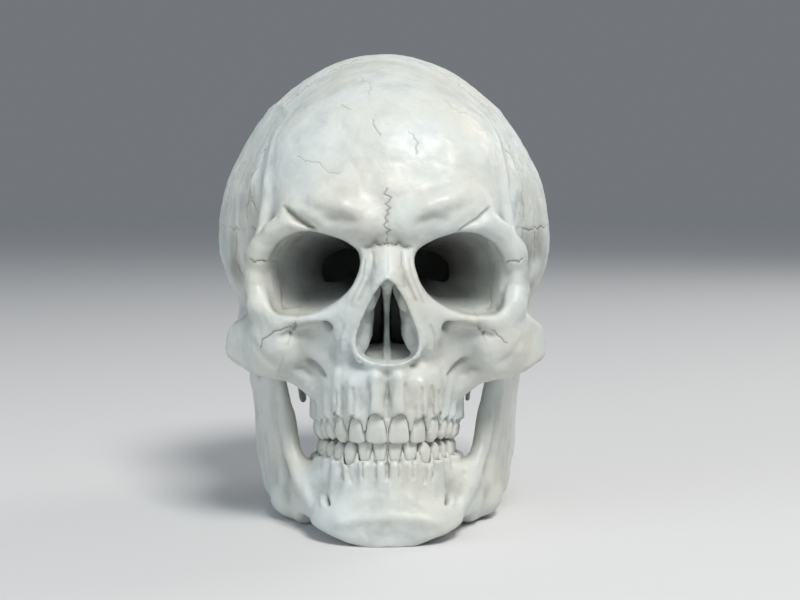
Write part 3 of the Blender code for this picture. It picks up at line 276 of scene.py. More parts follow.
VAULT_WALL = 4.5
BASE_WALL = 5.0
ORBIT_BREADTH = 40.0
ORBIT_HEIGHT = 34.2
ORBIT_WALL = 2.6
NASAL_BREADTH = 26.0
NASAL_HEIGHT = 34.1
NASAL_RIM = 2.2
FORAMEN_BREADTH = 30.0
FORAMEN_LENGTH = 35.0
EAR_CANAL = 7.6
CONDYLE_BREADTH = 19.2
CONDYLE_DEPTH = 10.4
FOSSA_CLEARANCE = 2.1
UPPER_ARCH_HALF_BREADTH = 27.5
LOWER_ARCH_HALF_BREADTH = 26.5
ARCH_DEPTH = 52.0
OVERJET = 2.5
BITE_HEIGHT = 43.0
RIDGE_LEAN = 0.2

TOOTH_NAMES = ("central_incisor", "lateral_incisor", "canine", "first_premolar", "second_premolar",
               "first_molar", "second_molar", "wisdom_tooth")


def teeth_of(rows):
    """Half a row of teeth from the midline back: width along the row, depth, crown height and root length."""
    return tuple(Tooth(name, *row) for name, row in zip(TOOTH_NAMES, rows))


UPPER_TEETH = teeth_of((
    (8.6, 7.2, 12.5, 12.5), (7.4, 6.6, 11, 12), (7.7, 8.2, 11.6, 15.5), (7, 9.2, 9.4, 12.5),
    (6.8, 9.2, 8.8, 12), (10.2, 10.4, 8.4, 11), (9.6, 10.6, 7.8, 10), (8.6, 10, 7, 9)))
LOWER_TEETH = teeth_of((
    (5.6, 6.2, 9.6, 11.5), (6.2, 6.5, 9.6, 12), (7, 7.9, 10.6, 14.5), (7, 7.8, 9.2, 13),
    (7.1, 8.2, 8.6, 12.5), (11.2, 9.8, 8.2, 11.5), (10.6, 9.8, 7.6, 10.5), (10, 9.4, 7, 9)))

BRAINCASE = (
    Ball((0, 103, 124), (79.7, 74, 74, 88, 68), roundness=1.89),
    Ball((0, 60, 137), (59.5, 58, 58, 60, 60), roundness=2.05, blend=14),
    Ball((0, 74, 157), (37, 46, 46, 46, 40), blend=6),
    Ball((0, 146, 106), (46, 24, 30, 36, 30), blend=14),
    Ball((25, 46, 143), (28, 39, 36, 36, 34), blend=10),
)
TEMPLE_HOLLOW = (
    Ball((76, 33, 118), (23, 27, 30, 42, 36), blend=8),
)
SKULL_BASE = (
    Ball((0, 62, 86), (24, 26, 24, 22, 22), blend=8),
)
BROW = (
    Ball((0, 13, 135), (45, 13.5, 20, 17, 13), roundness=2.3, blend=8),
    Limb(((0, 4.5, 130.5), (7, 2.2, 132), (17, 2.2, 137), (27, 4.4, 141.5)), (7.2, 7.8, 6.8, 4.2), blend=5),
    Limb(((12, 4, 125), (18, 3.2, 130), (28, 3.6, 133.2), (38, 6, 133), (47.5, 11.5, 128), (54, 16, 119)),
         (3.6, 4, 4.2, 4.8, 5, 4.6), blend=4),
)
TEMPORAL_EDGE = (
    Limb(((54, 17.5, 118), (51.5, 22, 130), (49.5, 25.5, 145), (46, 32, 160)), (3.4, 3.2, 2.8, 1.6), blend=4),
)
TEMPLE_TROUGH = (
    Limb(((58.5, 31, 121), (58.5, 34.5, 138), (59, 44, 156), (56, 56, 172)), (8, 8.6, 7, 3.5), blend=2.5),
)
SUPRAORBITAL_GROOVE = (
    Limb(((44, 3, 140), (37, 0.6, 135), (30, -1.8, 130.5)), (2.4, 2.6, 1.6), blend=3),
)
CHEEK = (
    Limb(((53.2, 17, 121), (55.5, 17.5, 112), (55.6, 16.5, 104), (53, 13, 97)), (4.2, 4.4, 5, 5.4), blend=5),
    Limb(((53, 13, 97), (45, 6.5, 91.2), (33, 2.2, 91.2), (22, 0.5, 95), (14.5, -0.5, 103)),
         (4.6, 3.9, 3.7, 3.6, 3.4), blend=4),
    Plate((50.5, 18.5, 82.5),
          ((-17, -4), (-12, 8), (-3, 13), (4, 16), (9, 12), (15, 8), (20, 4), (21, -8), (12, -13), (2, -15.5),
           (-8, -14.5), (-14, -11)), (0, 0, 40), 6.2, 4.2, 5, across=1),
    Ball((48, 14, 82), (10.5, 8.5, 11), (0, 0, 38), blend=7),
)
CHEEK_ARCH = (
    Limb(((52, 19, 82), (57.5, 27, 82), (63.4, 37, 82.4), (66, 47, 82.2), (66.2, 58, 81.6), (64, 72, 80.8),
          (61, 86, 83)), (11.5, 9, 7.2, 6.2, 5.9, 6, 6.5), (2.2, 1.3, 1), 4),
)
UPPER_JAW = (
    Ball((17, 18, 84), (18.5, 18, 20, 24, 22), blend=6),
    Limb(((30, 15, 83), (39, 15.5, 85), (47, 18, 86)), (8, 8.5, 8), blend=5),
    Ball((0, 22, 65), (27, 27, 26, 14, 10), roundness=2.3, blend=8),
    Limb(((44, 15.5, 73), (36.5, 15.5, 68), (29.5, 17, 62)), (5.6, 4.8, 5), blend=6),
)
NASAL_BRIDGE = (
    Limb(((0, 2.5, 126), (0, -3, 119), (0, -8.6, 111)), (5.8, 5.6, 6.2), (1, 1.5, 1), 2),
    Limb(((6.5, 2, 121), (7.8, -3.2, 112), (10.2, -3.8, 103), (14.6, -1, 93), (17.5, 1.5, 83)),
         (4.2, 4.7, 5.5, 6.2, 6.6), blend=4),
)
CANINE_FOSSA = (
    Ball((29.5, -2.5, 79), (8, 7.5, 10), blend=5),
)
EAR_REGION = (
    Limb(((61, 86, 83), (63, 100, 87), (60, 116, 92)), (7, 6, 4), blend=8),
    Limb(((59, 99, 80), (57, 99, 66), (54, 95, 54)), (12, 10, 5.5), blend=6),
    Ball((49, 62, 77), (10, 6, 6), blend=4),
)
STYLOID = (
    Limb(((42, 88, 70), (39, 82, 48)), (2.6, 1.4), blend=3),
)
TEMPORAL_FOSSA = (
    Limb(((54, 36, 108), (51, 45, 60)), (7, 10.5), (1, 0.62, 1), 7),
)
PTERYGOID = (
    Limb(((13, 50, 88), (13.5, 50, 60)), (8, 6), (3.2, 1, 1), 3),
    Limb(((17, 54, 88), (21, 58, 62)), (8, 7), (3.2, 1, 1), 3),
)
OCCIPITAL_CONDYLE = (
    Ball((19, 84, 57), (5.5, 12, 7), (0, 0, -25), blend=4),
)
PALATE_VAULT = (
    Ball((0, 26, 48), (17.5, 28, 17), roundness=2.4, blend=4),
)

ORBIT_OUTLINE = (
    (0.475, -0.06), (0.445, -0.36), (0.34, -0.495), (0.025, -0.48), (-0.24, -0.36), (-0.41, -0.16),
    (-0.50, 0.12), (-0.455, 0.30), (-0.325, 0.40), (-0.065, 0.505), (0.165, 0.49), (0.355, 0.345),
    (0.46, 0.13))
# Along, across and up of the centre, and the opening's scale, from the front to the apex
ORBIT_STATION = (
    (-30, 31.2, 111.3, 1), (8, 31.2, 111.3, 1), (14, 30.6, 111.5, 1.02), (24, 27.2, 112.3, 0.88),
    (34, 22.6, 113, 0.66), (44, 18, 113.6, 0.40), (50, 15.4, 114, 0.22))
ORBIT_WALL_STATION = (
    (16, 30.6, 111.5, 1), (24, 27.2, 112.3, 0.9), (33, 23.6, 113, 0.66), (43, 20.4, 113.6, 0.34))
NASAL_CENTRE = (0, 0, 93)
NASAL_OUTLINE = (
    (0, 0.5), (0.11, 0.435), (0.24, 0.28), (0.36, 0.08), (0.47, -0.12), (0.50, -0.28), (0.44, -0.41),
    (0.255, -0.48), (0, -0.5))
NASAL_STATION = ((-40, 0, 93, 1), (8, 0, 93, 1), (46, 0, 91, 0.86))
NASAL_RIM_ALONG = (-12.2, -11, -9, -7.2, -6, -5.6, -6.2, -8, -9)
NASAL_ROOF = (
    Limb(((3.6, -3.5, 107), (3.6, 2.5, 113), (5, 14, 115), (5.2, 26, 115)), (2.2, 2.4, 3.4, 3.4),
         (1, 1, 0.72), 1),
)
SEPTUM_FRONT = ((-6.5, 108), (-3.5, 98), (-1.5, 88), (-3.5, 77))
SEPTUM_HALF_THICKNESS = 1.45
CONCHA = (
    Limb(((10.4, 3, 83.5), (9.8, 10, 87), (9.6, 30, 88)), (3.2, 4.2, 3.4), (1, 1, 0.75), 3),
    Limb(((9.4, 3.5, 90), (8.6, 9, 95), (8.4, 30, 97)), (2.8, 3.4, 3), (1, 1, 0.55), 3),
    Limb(((6.6, 2, 100), (6.2, 8, 104), (5.8, 24, 106)), (2.2, 3, 2.8), (1, 1, 0.6), 3),
)
NASAL_FLOOR = (
    Ball((4.5, 19, 75), (9.5, 13, 5.6), blend=3),
    Limb(((0, -4.5, 108.5), (0, 1, 104.5)), (3.2, 1.5), blend=1.5),
)
EAR_CANAL_ENDS = ((76, 90, 79.5), (46, 90, 79))
FORAMEN_MAGNUM = ((0, 95, 80), (0, 93, 40))
HOLLOW_FRONT_FLOOR = 134
HOLLOW = (
    Ball((0, 112, 116), (70, 66, 60), roundness=2.4),
    Ball((33, 64, 107), (24, 22, 25)),
)
CRANIUM_BOX = ((0, -18, 28), (86, 186, 218))
JAW_BOX = ((0, -18, -8), (78, 98, 92))

RAMUS = Plate(
    (51.6, 58, 33),
    ((-24, -6), (-21, 10), (-19, 24), (-18.5, 36), (-17, 45), (-12.5, 47), (-6, 38), (1, 29.5), (7, 33),
     (9, 41), (15.5, 42), (18, 34), (19, 18), (19.5, 0), (18.5, -14), (12, -23.5), (0, -26.5), (-14, -27.5),
     (-24, -26)),
    (0, 5.5, -18), 3.6, 2.6, 5)
JAW_BODY = (
    Limb(((0, 1.5, 13), (12, 2.5, 13), (24, 11, 13.5), (35, 29, 14.5), (43, 47, 15.2), (48.3, 69, 13.4)),
         (15.5, 15.5, 15, 15, 14.6, 15), (2.2, 2.2, 1)),
)
JAW_RIDGE = (
    Limb(((46.5, 40, 62), (43.8, 37, 48), (41.5, 32, 34), (37, 23.5, 22), (30, 12.5, 13)),
         (2.6, 3.4, 4, 3.8, 3.4), blend=3.5),
    Limb(((56.4, 75, 60), (55.5, 75, 73)), (4.8, 4.4), blend=5),
    Limb(((55.6, 74, 50), (54.6, 73, 26), (50, 65, 13)), (3.6, 4, 5.2), blend=3.5),
    Limb(((54, 60, 48), (53.4, 60, 34), (50.5, 57, 20)), (2, 2.6, 2.2), blend=3),
    Ball((45, 44, 9), (5.5, 9, 6), (0, 0, -15), blend=5),
)
MENTAL_HOLLOW = (
    Ball((0, -13, 29), (17, 7, 6.5), blend=6),
    Ball((30, 4, 24), (8, 7, 9), (0, 0, 45), blend=6),
)
CHIN = (
    Ball((0, -2, 8), (22, 9.5, 8, 11, 13), roundness=2.3, blend=8),
    Ball((21, 3, 7), (10.5, 8, 9), (0, 0, 28), blend=8),
    Limb(((0, -5.5, 14), (0, -3.2, 26)), (3, 2), blend=6),
)
CONDYLE = (54, 75, 75.5)
CONDYLE_TURN = (0, 0, -12)

# The tooth rows: a rounded arch, and a biting plane that falls towards the back
ARCH_FRONT = -5.5
ARCH_SQUARENESS = 2.3
BITE_FALL = 0.13
# Bone round a root, as shares of the tooth's width: the wall, and the swelling at the neck and at the tip
RIDGE = (0.37, 0.37, 0.24)
SWELL_GAIN = 1.08
SWELL_TIP_GAIN = 1.3
SWELL_BLEND = 1.5
SOCKET_WALL = 1.2
# The chin's lower border rises to the sides: rise, where it starts, its span, and how far back it goes
CHIN_RISE = 0.30
CHIN_RISE_FROM = 12
CHIN_RISE_SPAN = (-3, 6)
CHIN_RISE_BACK = (24, 16, 14)
CHIN_RISE_BLEND = 2.5
RIDGE_RADIUS = 6.5

ZYGOMATIC = (
    Block(0, ((-12, 60), (-12, 96.5), (30, 96.5), (30, 93), (52.5, 91), (51.5, 60)), 48.5, 82, -0.33),
    Block(0, ((-12, 91), (-12, 116), (30, 116.5), (30, 92)), 43.5, 80, 0.1),
)
NASAL = (
    Block(1, ((0, 107), (7, 107), (5.2, 116), (5.4, 124.2), (0, 124.6)), -22, 4.5),
)
LACRIMAL = (
    Block(0, ((5.2, 105.5), (5.2, 116.5), (11.4, 117.5), (11.4, 105)), 9.6, 17),
)
ETHMOID = (
    Block(1, ((0, 94), (2.6, 94), (8.2, 96), (9.6, 103.4), (17, 103.4), (17, 121.6), (0, 121.6)), 11.9, 30.6),
    Block(0, ((-8, 94), (-8.5, 106), (-4, 110), (1, 116), (1, 117.6), (13, 117.6), (13, 94)), -2.2, 2.2),
)
VOMER = (
    Block(0, ((-4.5, 78.2), (-9, 93.6), (30.6, 93.6), (47, 97), (47, 80), (30, 78.2)), -2.2, 2.2),
)
CONCHA_REGION = (
    Block(1, ((5.2, 82), (5.2, 91), (10, 92), (11.2, 88), (11.6, 82)), -3, 34),
)
SPHENOID = (
    Block(0, ((30.9, 97), (30.9, 119), (37, 125), (44, 129.2), (57.5, 129.2), (59, 118), (57.5, 100),
              (54, 91), (40, 91)), -88, 88),
    Block(0, ((46.4, 48), (46.4, 96), (31.8, 98), (31.8, 118), (68.3, 118), (68.3, 48)), -29, 29),
    Block(0, ((37, 117), (37, 136), (52, 136), (66, 117)), -46, 46),
)
PALATINE = (
    Block(0, ((37.5, 56), (37.5, 79), (46.1, 79), (46.1, 56)), 0, 13.5),
)
MAXILLA = (
    Block(0, ((-20, 30), (-20, 122), (4.9, 122), (6, 104.6), (11.6, 104.6), (30.7, 106.5), (30.7, 97.4),
              (46.1, 97.4), (46.1, 30)), 0, 60),
)
OCCIPITAL = (
    Block(1, ((0, 160), (56, 98), (56, 92), (0, 92)), 112, 200, serrated=(0,)),
    Block(2, ((0, 68.6), (13, 68.6), (16, 84), (27, 92), (32, 105), (44, 124), (56, 138), (56, 200),
              (0, 200)), 28, 92.1),
)
TEMPORAL = (
    Block(0, ((40, 36), (40, 120), (57, 128.6), (70, 129), (84, 130), (98, 129), (109, 123.5), (118, 114),
              (126, 104), (140, 97), (156, 92), (156, 36)), 13.4, 90),
)
# Depth and height of the top and the lower end of the suture behind the forehead
BREGMA = (88, 212)
PTERION = (44, 129.2)


def orbit_outline():
    """The rounded square of the eye socket's opening."""
    return curved(np.array(ORBIT_OUTLINE) * (ORBIT_BREADTH, ORBIT_HEIGHT))


def nasal_outline():
    """The pear-shaped opening: one half and its mirror image."""
    other = [(-u, v) for u, v in reversed(NASAL_OUTLINE[1:-1])]
    return curved(np.array(NASAL_OUTLINE + tuple(other)) * (NASAL_BREADTH, NASAL_HEIGHT), 2)


def beside_septum(form):
    """Keep a midline plate of bone clear of a cut."""
    low, high, distance = form
    heights = [up for along, up in reversed(SEPTUM_FRONT)]
    alongs = [along - MIDDLE for along, up in reversed(SEPTUM_FRONT)]

    def kept(x, y, z):
        edge = np.interp(z, heights, alongs).astype(F)
        plate = np.maximum(x - F(SEPTUM_HALF_THICKNESS), edge - y)
        return np.maximum(distance(x, y, z), -plate)

    return low, high, kept


def arch_places(teeth, half_breadth, front):
    """Centre across and along, and turn, of each tooth of one half row."""
    angles = np.linspace(0, math.pi / 2, 400)
    across = half_breadth * np.sin(angles) ** (2 / ARCH_SQUARENESS)
    along = front + ARCH_DEPTH * (1 - np.cos(angles) ** (2 / ARCH_SQUARENESS))
    run = np.concatenate([[0], np.cumsum(np.hypot(np.diff(across), np.diff(along)))])
    places = []
    start = 0.0
    for tooth in teeth:
        middle = start + tooth.width / 2
        before, after = middle - tooth.width / 4, middle + tooth.width / 4
        slope = math.atan2(np.interp(after, run, along) - np.interp(before, run, along),
                           np.interp(after, run, across) - np.interp(before, run, across))
        places.append((float(np.interp(middle, run, across)), float(np.interp(middle, run, along)), slope))
        start += tooth.width
    return places


def row_front():
    """How far along the skull the upper row of teeth starts."""
    return ARCH_FRONT - MIDDLE


def tooth_row(side):
    """Every tooth of half a row with its place: side 1 above, -1 below."""
    if side > 0:
        return list(zip(UPPER_TEETH, arch_places(UPPER_TEETH, UPPER_ARCH_HALF_BREADTH, row_front())))
    return list(zip(LOWER_TEETH, arch_places(LOWER_TEETH, LOWER_ARCH_HALF_BREADTH, row_front() + OVERJET)))


def bite_level(y):
    """Height of the biting plane at a place along the skull."""
    return BITE_HEIGHT - BITE_FALL * (y - row_front())


def add_tooth_ridge(clay, side):
    """Bone round the roots: the ridge, and a bulge over each root."""
    row = tooth_row(side)
    wall, swell, tip = RIDGE
    for tooth, (x, y, turn) in row:
        neck = bite_level(y) + side * tooth.crown
        inward = np.array((-math.sin(turn), math.cos(turn), 0))
        centre = np.array((x, y, neck))
        deep = centre + inward * tooth.root * RIDGE_LEAN + (0, 0, side * tooth.root)
        low_end = centre + inward * SOCKET_WALL + (0, 0, side * SOCKET_WALL)
        clay.put(limb([low_end, deep], [tooth.width * wall + SOCKET_WALL, RIDGE_RADIUS]), RIDGE_RADIUS, 1)
    for tooth, (x, y, turn) in row[:-1]:
        neck = bite_level(y) + side * tooth.crown
        outward = np.array((math.sin(turn), -math.cos(turn), 0))
        start = np.array((x, y, neck)) + outward * (SOCKET_WALL * 2.4 + 0.35)
        end = start + outward * SOCKET_WALL * 0.5 + (0, 0, side * tooth.root * 1.12)
        radii = [tooth.width * swell * SWELL_GAIN, tooth.width * tip * SWELL_TIP_GAIN]
        clay.put(limb([start, end], radii), SWELL_BLEND, 1)


def add_nasal_rim(clay):
    """A raised border round the nasal opening."""
    points = [spot((u * NASAL_BREADTH, along, NASAL_CENTRE[2] + v * NASAL_HEIGHT))
              for (u, v), along in zip(NASAL_OUTLINE, NASAL_RIM_ALONG)]
    clay.put(limb(points, [NASAL_RIM] * len(points)), NASAL_RIM, 1)


def carve_nose(clay):
    """The nasal cavity on both sides of the septum, with the scrolls that hang in it."""
    blend = SEPTUM_HALF_THICKNESS
    clay.put(beside_septum(funnel(nasal_outline(), NASAL_STATION)), blend / 2, -1)
    for shape in NASAL_ROOF:
        clay.put(beside_septum(limb_form(shape)), blend / 2, -1)
    clay.add(CONCHA)
    clay.add(NASAL_FLOOR)


def condyle(clearance):
    """The jaw's head, or with a clearance the hollow that it turns in."""
    radii = (CONDYLE_BREADTH / 2 + clearance, CONDYLE_DEPTH / 2 + clearance, CONDYLE_DEPTH / 2 + clearance)
    return ellipsoid(spot(CONDYLE), radii, turned(CONDYLE_TURN))


def hollow_braincase(clay, outer):
    """Empty the braincase to an even wall, over a stepped floor, and open the great foramen."""
    x, y, z = np.ix_(*clay.axes)
    inner = outer + F(VAULT_WALL)
    deep = outer + F(BASE_WALL)
    floor = F(HOLLOW_FRONT_FLOOR) - z
    hollow = -joined(-inner, -floor + np.zeros_like(inner), BASE_WALL)
    for shape in HOLLOW:
        hollow = joined(hollow, np.maximum(deep, ball_form(shape)[2](x, y, z)), BASE_WALL)
    clay.field = -joined(-clay.field, hollow, ORBIT_WALL)
    ends = [spot(end) for end in FORAMEN_MAGNUM]
    squeeze = (1, FORAMEN_BREADTH / FORAMEN_LENGTH, 1)
    clay.put(limb(ends, [FORAMEN_BREADTH / 2] * 2, squeeze), ORBIT_WALL, -1)


def cranium_clay():
    """The whole cranium in one body, before it is parted into bones."""
    low, high = CRANIUM_BOX
    clay = Clay(spot(low), spot(high), CELL)
    clay.add(BRAINCASE)
    clay.cut(TEMPLE_HOLLOW)
    clay.cut(TEMPLE_TROUGH)
    clay.add(SKULL_BASE)
    outer = clay.field.copy()
    for shapes in (BROW, CHEEK, CHEEK_ARCH, UPPER_JAW, NASAL_BRIDGE):
        clay.add(shapes)
    clay.add(TEMPORAL_EDGE)
    clay.cut(SUPRAORBITAL_GROOVE)
    add_nasal_rim(clay)
    add_tooth_ridge(clay, 1)
    clay.cut(CANINE_FOSSA)
    clay.add(EAR_REGION)
    clay.put(condyle(FOSSA_CLEARANCE), FOSSA_CLEARANCE, -1)
    clay.put(limb([spot(end) for end in EAR_CANAL_ENDS], [EAR_CANAL / 2] * 2), FOSSA_CLEARANCE, -1)
    clay.add(STYLOID)
    clay.cut(TEMPORAL_FOSSA)
    outline = orbit_outline()
    clay.put(funnel(outline, ORBIT_WALL_STATION, ORBIT_WALL), ORBIT_WALL, 1)
    clay.add(PTERYGOID)
    clay.add(OCCIPITAL_CONDYLE)
    clay.cut(PALATE_VAULT)
    add_papillae(clay, 1)
    round_teeth(clay, 1)
    clay.put(funnel(outline, ORBIT_STATION), ORBIT_WALL / 2, -1)
    carve_nose(clay)
    hollow_braincase(clay, outer)
    return clay


def jaw_clay():
    """The lower jaw: body, chin, upright branches, coronoid processes and condyles."""
    low, high = JAW_BOX
    clay = Clay(spot(low), spot(high), CELL)
    clay.add(JAW_BODY)
    clay.add((RAMUS,))
    clay.add(JAW_RIDGE)
    clay.put(condyle(0), FOSSA_CLEARANCE, 1)
    clay.cut(MENTAL_HOLLOW)
    add_tooth_ridge(clay, -1)
    clay.add(CHIN)
    add_papillae(clay, -1)
    round_teeth(clay, -1)
    x, y, z = np.ix_(*clay.axes)
    start, run, drop = CHIN_RISE_BACK
    border = np.clip(F(CHIN_RISE) * (np.abs(x) - F(CHIN_RISE_FROM)), *(F(limit) for limit in CHIN_RISE_SPAN))
    border = border - F(drop) * np.clip((y + F(MIDDLE - start)) / F(run), 0, 1)
    clay.field = -joined(-clay.field, (z - border) * F(0.95), CHIN_RISE_BLEND)
    clay.field = np.maximum(clay.field, -z)
    return clay


# How far a bone runs on under its neighbour's edge, and how deep it dips there
LAP = 1.2
LAP_SINK = 0.25
OUTSIDE = 60.0
REGION_PITCH = 9.0


def wobble(s, pitch):
    """A suture's side-to-side run at a distance along it, from -1 to 1."""
    turn = 2 * math.pi * s / F(pitch)
    return (np.sin(turn + 1.3 * np.sin(turn * F(0.37))) * F(0.62) + np.sin(turn * F(2.3) + F(1.1)) * F(0.3)
            + np.sin(turn * F(4.7) + F(0.4)) * F(0.16))


def block_distance(block, axes):
    """Signed distance to a region's prism on the half grid; a midline face is left open."""
    flat = [axis for axis in range(3) if axis != block.axis]
    shift = (0, MIDDLE, 0)
    points = [[u - shift[flat[0]], v - shift[flat[1]]] for u, v in block.outline]
    level_zero = points[0][1]
    if flat[0] == 0:
        points = [(-OUTSIDE if u == 0 else u, v) for u, v in points]
    grid = np.ix_(*axes)
    u, v = np.broadcast_arrays(grid[flat[0]], grid[flat[1]])
    edge = outline_distance(u, v, np.array(points, float))
    edge = edge + wobble(grid[0] * F(0.7) + grid[1] * F(0.5) + grid[2] * F(0.8), REGION_PITCH) * F(0.9)
    if block.serrated:
        edge = edge + wobble(grid[0] * F(0.8) + F(2), 7.0) * F(1.6)
    low = -OUTSIDE if block.axis == 0 and block.low == 0 else block.low - shift[block.axis]
    high = block.high - shift[block.axis]
    along = grid[block.axis]
    before = F(low) + F(block.slant) * (grid[flat[1]] - F(level_zero)) - along
    return np.maximum(edge, np.maximum(before, along - F(high)))


def region_distance(blocks, axes):
    """Signed distance to the union of a region's prisms."""
    result = None
    for block in blocks:
        value = block_distance(block, axes)
        result = value if result is None else np.minimum(result, value)
    return result


def coronal_line(x, y, z):
    """Signed distance to the leaning, toothed suture between the frontal bone and the parietals."""
    (top_along, top_up), (low_along, low_up) = BREGMA, PTERION
    slope = (top_along - low_along) / (top_up - low_up)
    arc = np.arctan2(np.abs(x), z - F(120)) * F(78)
    line = F(low_along - MIDDLE) + (z - F(low_up)) * F(slope)
    fade = np.clip(1.25 - np.abs(arc - 45) / 80, 0.25, 1)
    return (y - line) * F(1 / math.hypot(1, slope)) + wobble(arc, 6.5) * F(1.7) * fade


def bones_in_order():
    """Name, region and whether the bone is one of a pair, from the face back."""
    return (("zygomatic_bone", ZYGOMATIC, True), ("lacrimal_bone", LACRIMAL, True),
            ("inferior_concha", CONCHA_REGION, True), ("vomer", VOMER, False),
            ("ethmoid_bone", ETHMOID, False), ("sphenoid_bone", SPHENOID, False), ("nasal_bone", NASAL, True),
            ("palatine_bone", PALATINE, True), ("maxilla", MAXILLA, True), ("frontal_bone", None, False),
            ("occipital_bone", OCCIPITAL, False), ("temporal_bone", TEMPORAL, True),
            ("parietal_bone", (), True))


def region(blocks, axes):
    """Signed distance to a bone's region: None is all before the coronal suture, () all that is left."""
    if blocks is None:
        return coronal_line(*np.ix_(*axes))
    if not blocks:
        return np.full([len(axis) for axis in axes], -OUTSIDE, F)
    return region_distance(blocks, axes)


def mirrored(half):
    """A grid of both sides from the grid of one."""
    return np.concatenate([half[:0:-1], half])


def surface(field, low, cell):
    """Points and four-sided faces of a signed distance's zero surface."""
    band = 3 * cell
    grid = openvdb.FloatGrid(band)
    grid.copyFromArray(np.ascontiguousarray(np.clip(field, -band, band)))
    points, triangles, quads = grid.convertToPolygons()
    faces = np.array(quads, np.int64)
    if len(triangles):
        corners = np.array(triangles, np.int64)
        faces = np.concatenate([faces, np.concatenate([corners, corners[:, 2:]], 1)])
    return np.array(points, float) * cell + low, faces


def main_body(points, faces):
    """Only the faces that hang together with the largest part."""
    label = np.arange(len(points))
    pairs = np.concatenate([faces[:, (0, 1)], faces[:, (1, 2)], faces[:, (2, 3)]])
    while True:
        lowest = np.minimum(label[pairs[:, 0]], label[pairs[:, 1]])
        fresh = label.copy()
        np.minimum.at(fresh, pairs[:, 0], lowest)
        np.minimum.at(fresh, pairs[:, 1], lowest)
        fresh = fresh[fresh]
        if (fresh == label).all():
            break
        label = fresh
    names, counts = np.unique(label, return_counts=True)
    keep = label == names[counts.argmax()]
    index = np.cumsum(keep) - 1
    return points[keep], index[faces[keep[faces[:, 0]]]]


def turned_faces(faces):
    """Faces listed the other way round; a three-sided one keeps its repeated last corner."""
    three = faces[:, 2] == faces[:, 3]
    return np.where(three[:, None], faces[:, (1, 0, 2, 2)], faces[:, ::-1])


def new_mesh(name, points, faces):
    """A smooth-shaded object; a face whose last corner repeats is three-sided."""
    a, b, c, d = (points[faces[:, corner]] for corner in range(4))
    volume = np.einsum("ij,ij->i", a, np.cross(b, c) + np.cross(c, d)).sum()
    if volume < 0:
        faces = turned_faces(faces)
    three = faces[:, 2] == faces[:, 3]
    sizes = np.where(three, 3, 4)
    starts = np.concatenate([[0], np.cumsum(sizes)[:-1]])
    mesh = bpy.data.meshes.new(name)
    mesh.vertices.add(len(points))
    mesh.vertices.foreach_set("co", (points * MM).astype(F).ravel())
    keep = np.ones(faces.shape, bool)
    keep[three, 3] = False
    loops = faces[keep]
    mesh.loops.add(len(loops))
    mesh.loops.foreach_set("vertex_index", loops.astype(np.int32))
    mesh.polygons.add(len(faces))
    mesh.polygons.foreach_set("loop_start", starts.astype(np.int32))
    mesh.update(calc_edges=True)
    mesh.validate()
    mesh.shade_smooth()
    thing = bpy.data.objects.new(name, mesh)
    bpy.context.scene.collection.objects.link(thing)
    return thing


def part_bones(clay):
    """Points, faces and suture distances of every bone, each with a thin lap under its neighbour's edge."""
    taken = np.full(clay.field.shape, OUTSIDE, F)
    whole = mirrored(clay.field)
    full_x = np.concatenate([-clay.axes[0][:0:-1], clay.axes[0]])
    low = np.array((full_x[0], clay.low[1], clay.low[2]))
    parts = {}
    for name, blocks, paired in bones_in_order():
        own = region(blocks, clay.axes)
        own = np.maximum(own, -taken)
        taken = np.minimum(taken, own)
        near = (own < LAP + 2 * clay.cell) & (clay.field < 2 * clay.cell)
        spans = []
        for axis in range(3):
            hit = np.nonzero(near.any(tuple(other for other in range(3) if other != axis)))[0]
            spans.append((max(hit[0] - 2, 0), hit[-1] + 3))
        (x0, x1), (y0, y1), (z0, z1) = spans
        centre = clay.field.shape[0] - 1
        for side, label in (((1, "_left"), (-1, "_right")) if paired else ((0, ""),)):
            first = centre + x0 if side > 0 else centre - x1 + 1
            last = centre - x0 + 1 if side < 0 else centre + x1
            if x0 == 0:
                first, last = max(centre - 4, 0) if side > 0 else first, centre + 5 if side < 0 else last
            reach = slice(first if side else max(first, 0), last)
            window = (reach, slice(y0, y1), slice(z0, z1))
            mine = mirrored(own[:, y0:y1, z0:z1])[reach]
            if side:
                x, y = full_x[reach][:, None, None], clay.axes[1][y0:y1][None, :, None]
                line = wobble(y, 6.0) * F(1.5) if name == "parietal_bone" else F(0)
                mine = np.maximum(mine, -side * (x + line))
            sunk = np.clip(mine * F(1 / LAP), 0, 1) ** 2 * F(LAP_SINK)
            field = np.maximum(whole[window] + sunk, mine - F(LAP))
            field = np.pad(field, 1, constant_values=FAR)
            corner = low + clay.cell * (np.array([part.start for part in window]) - 1)
            parts[name + label] = (*main_body(*surface(field, corner, clay.cell)), (mine, corner + clay.cell))
    return parts


Mark = namedtuple("Mark", "view path width depth tone step sway both", defaults=(0, 0, True))
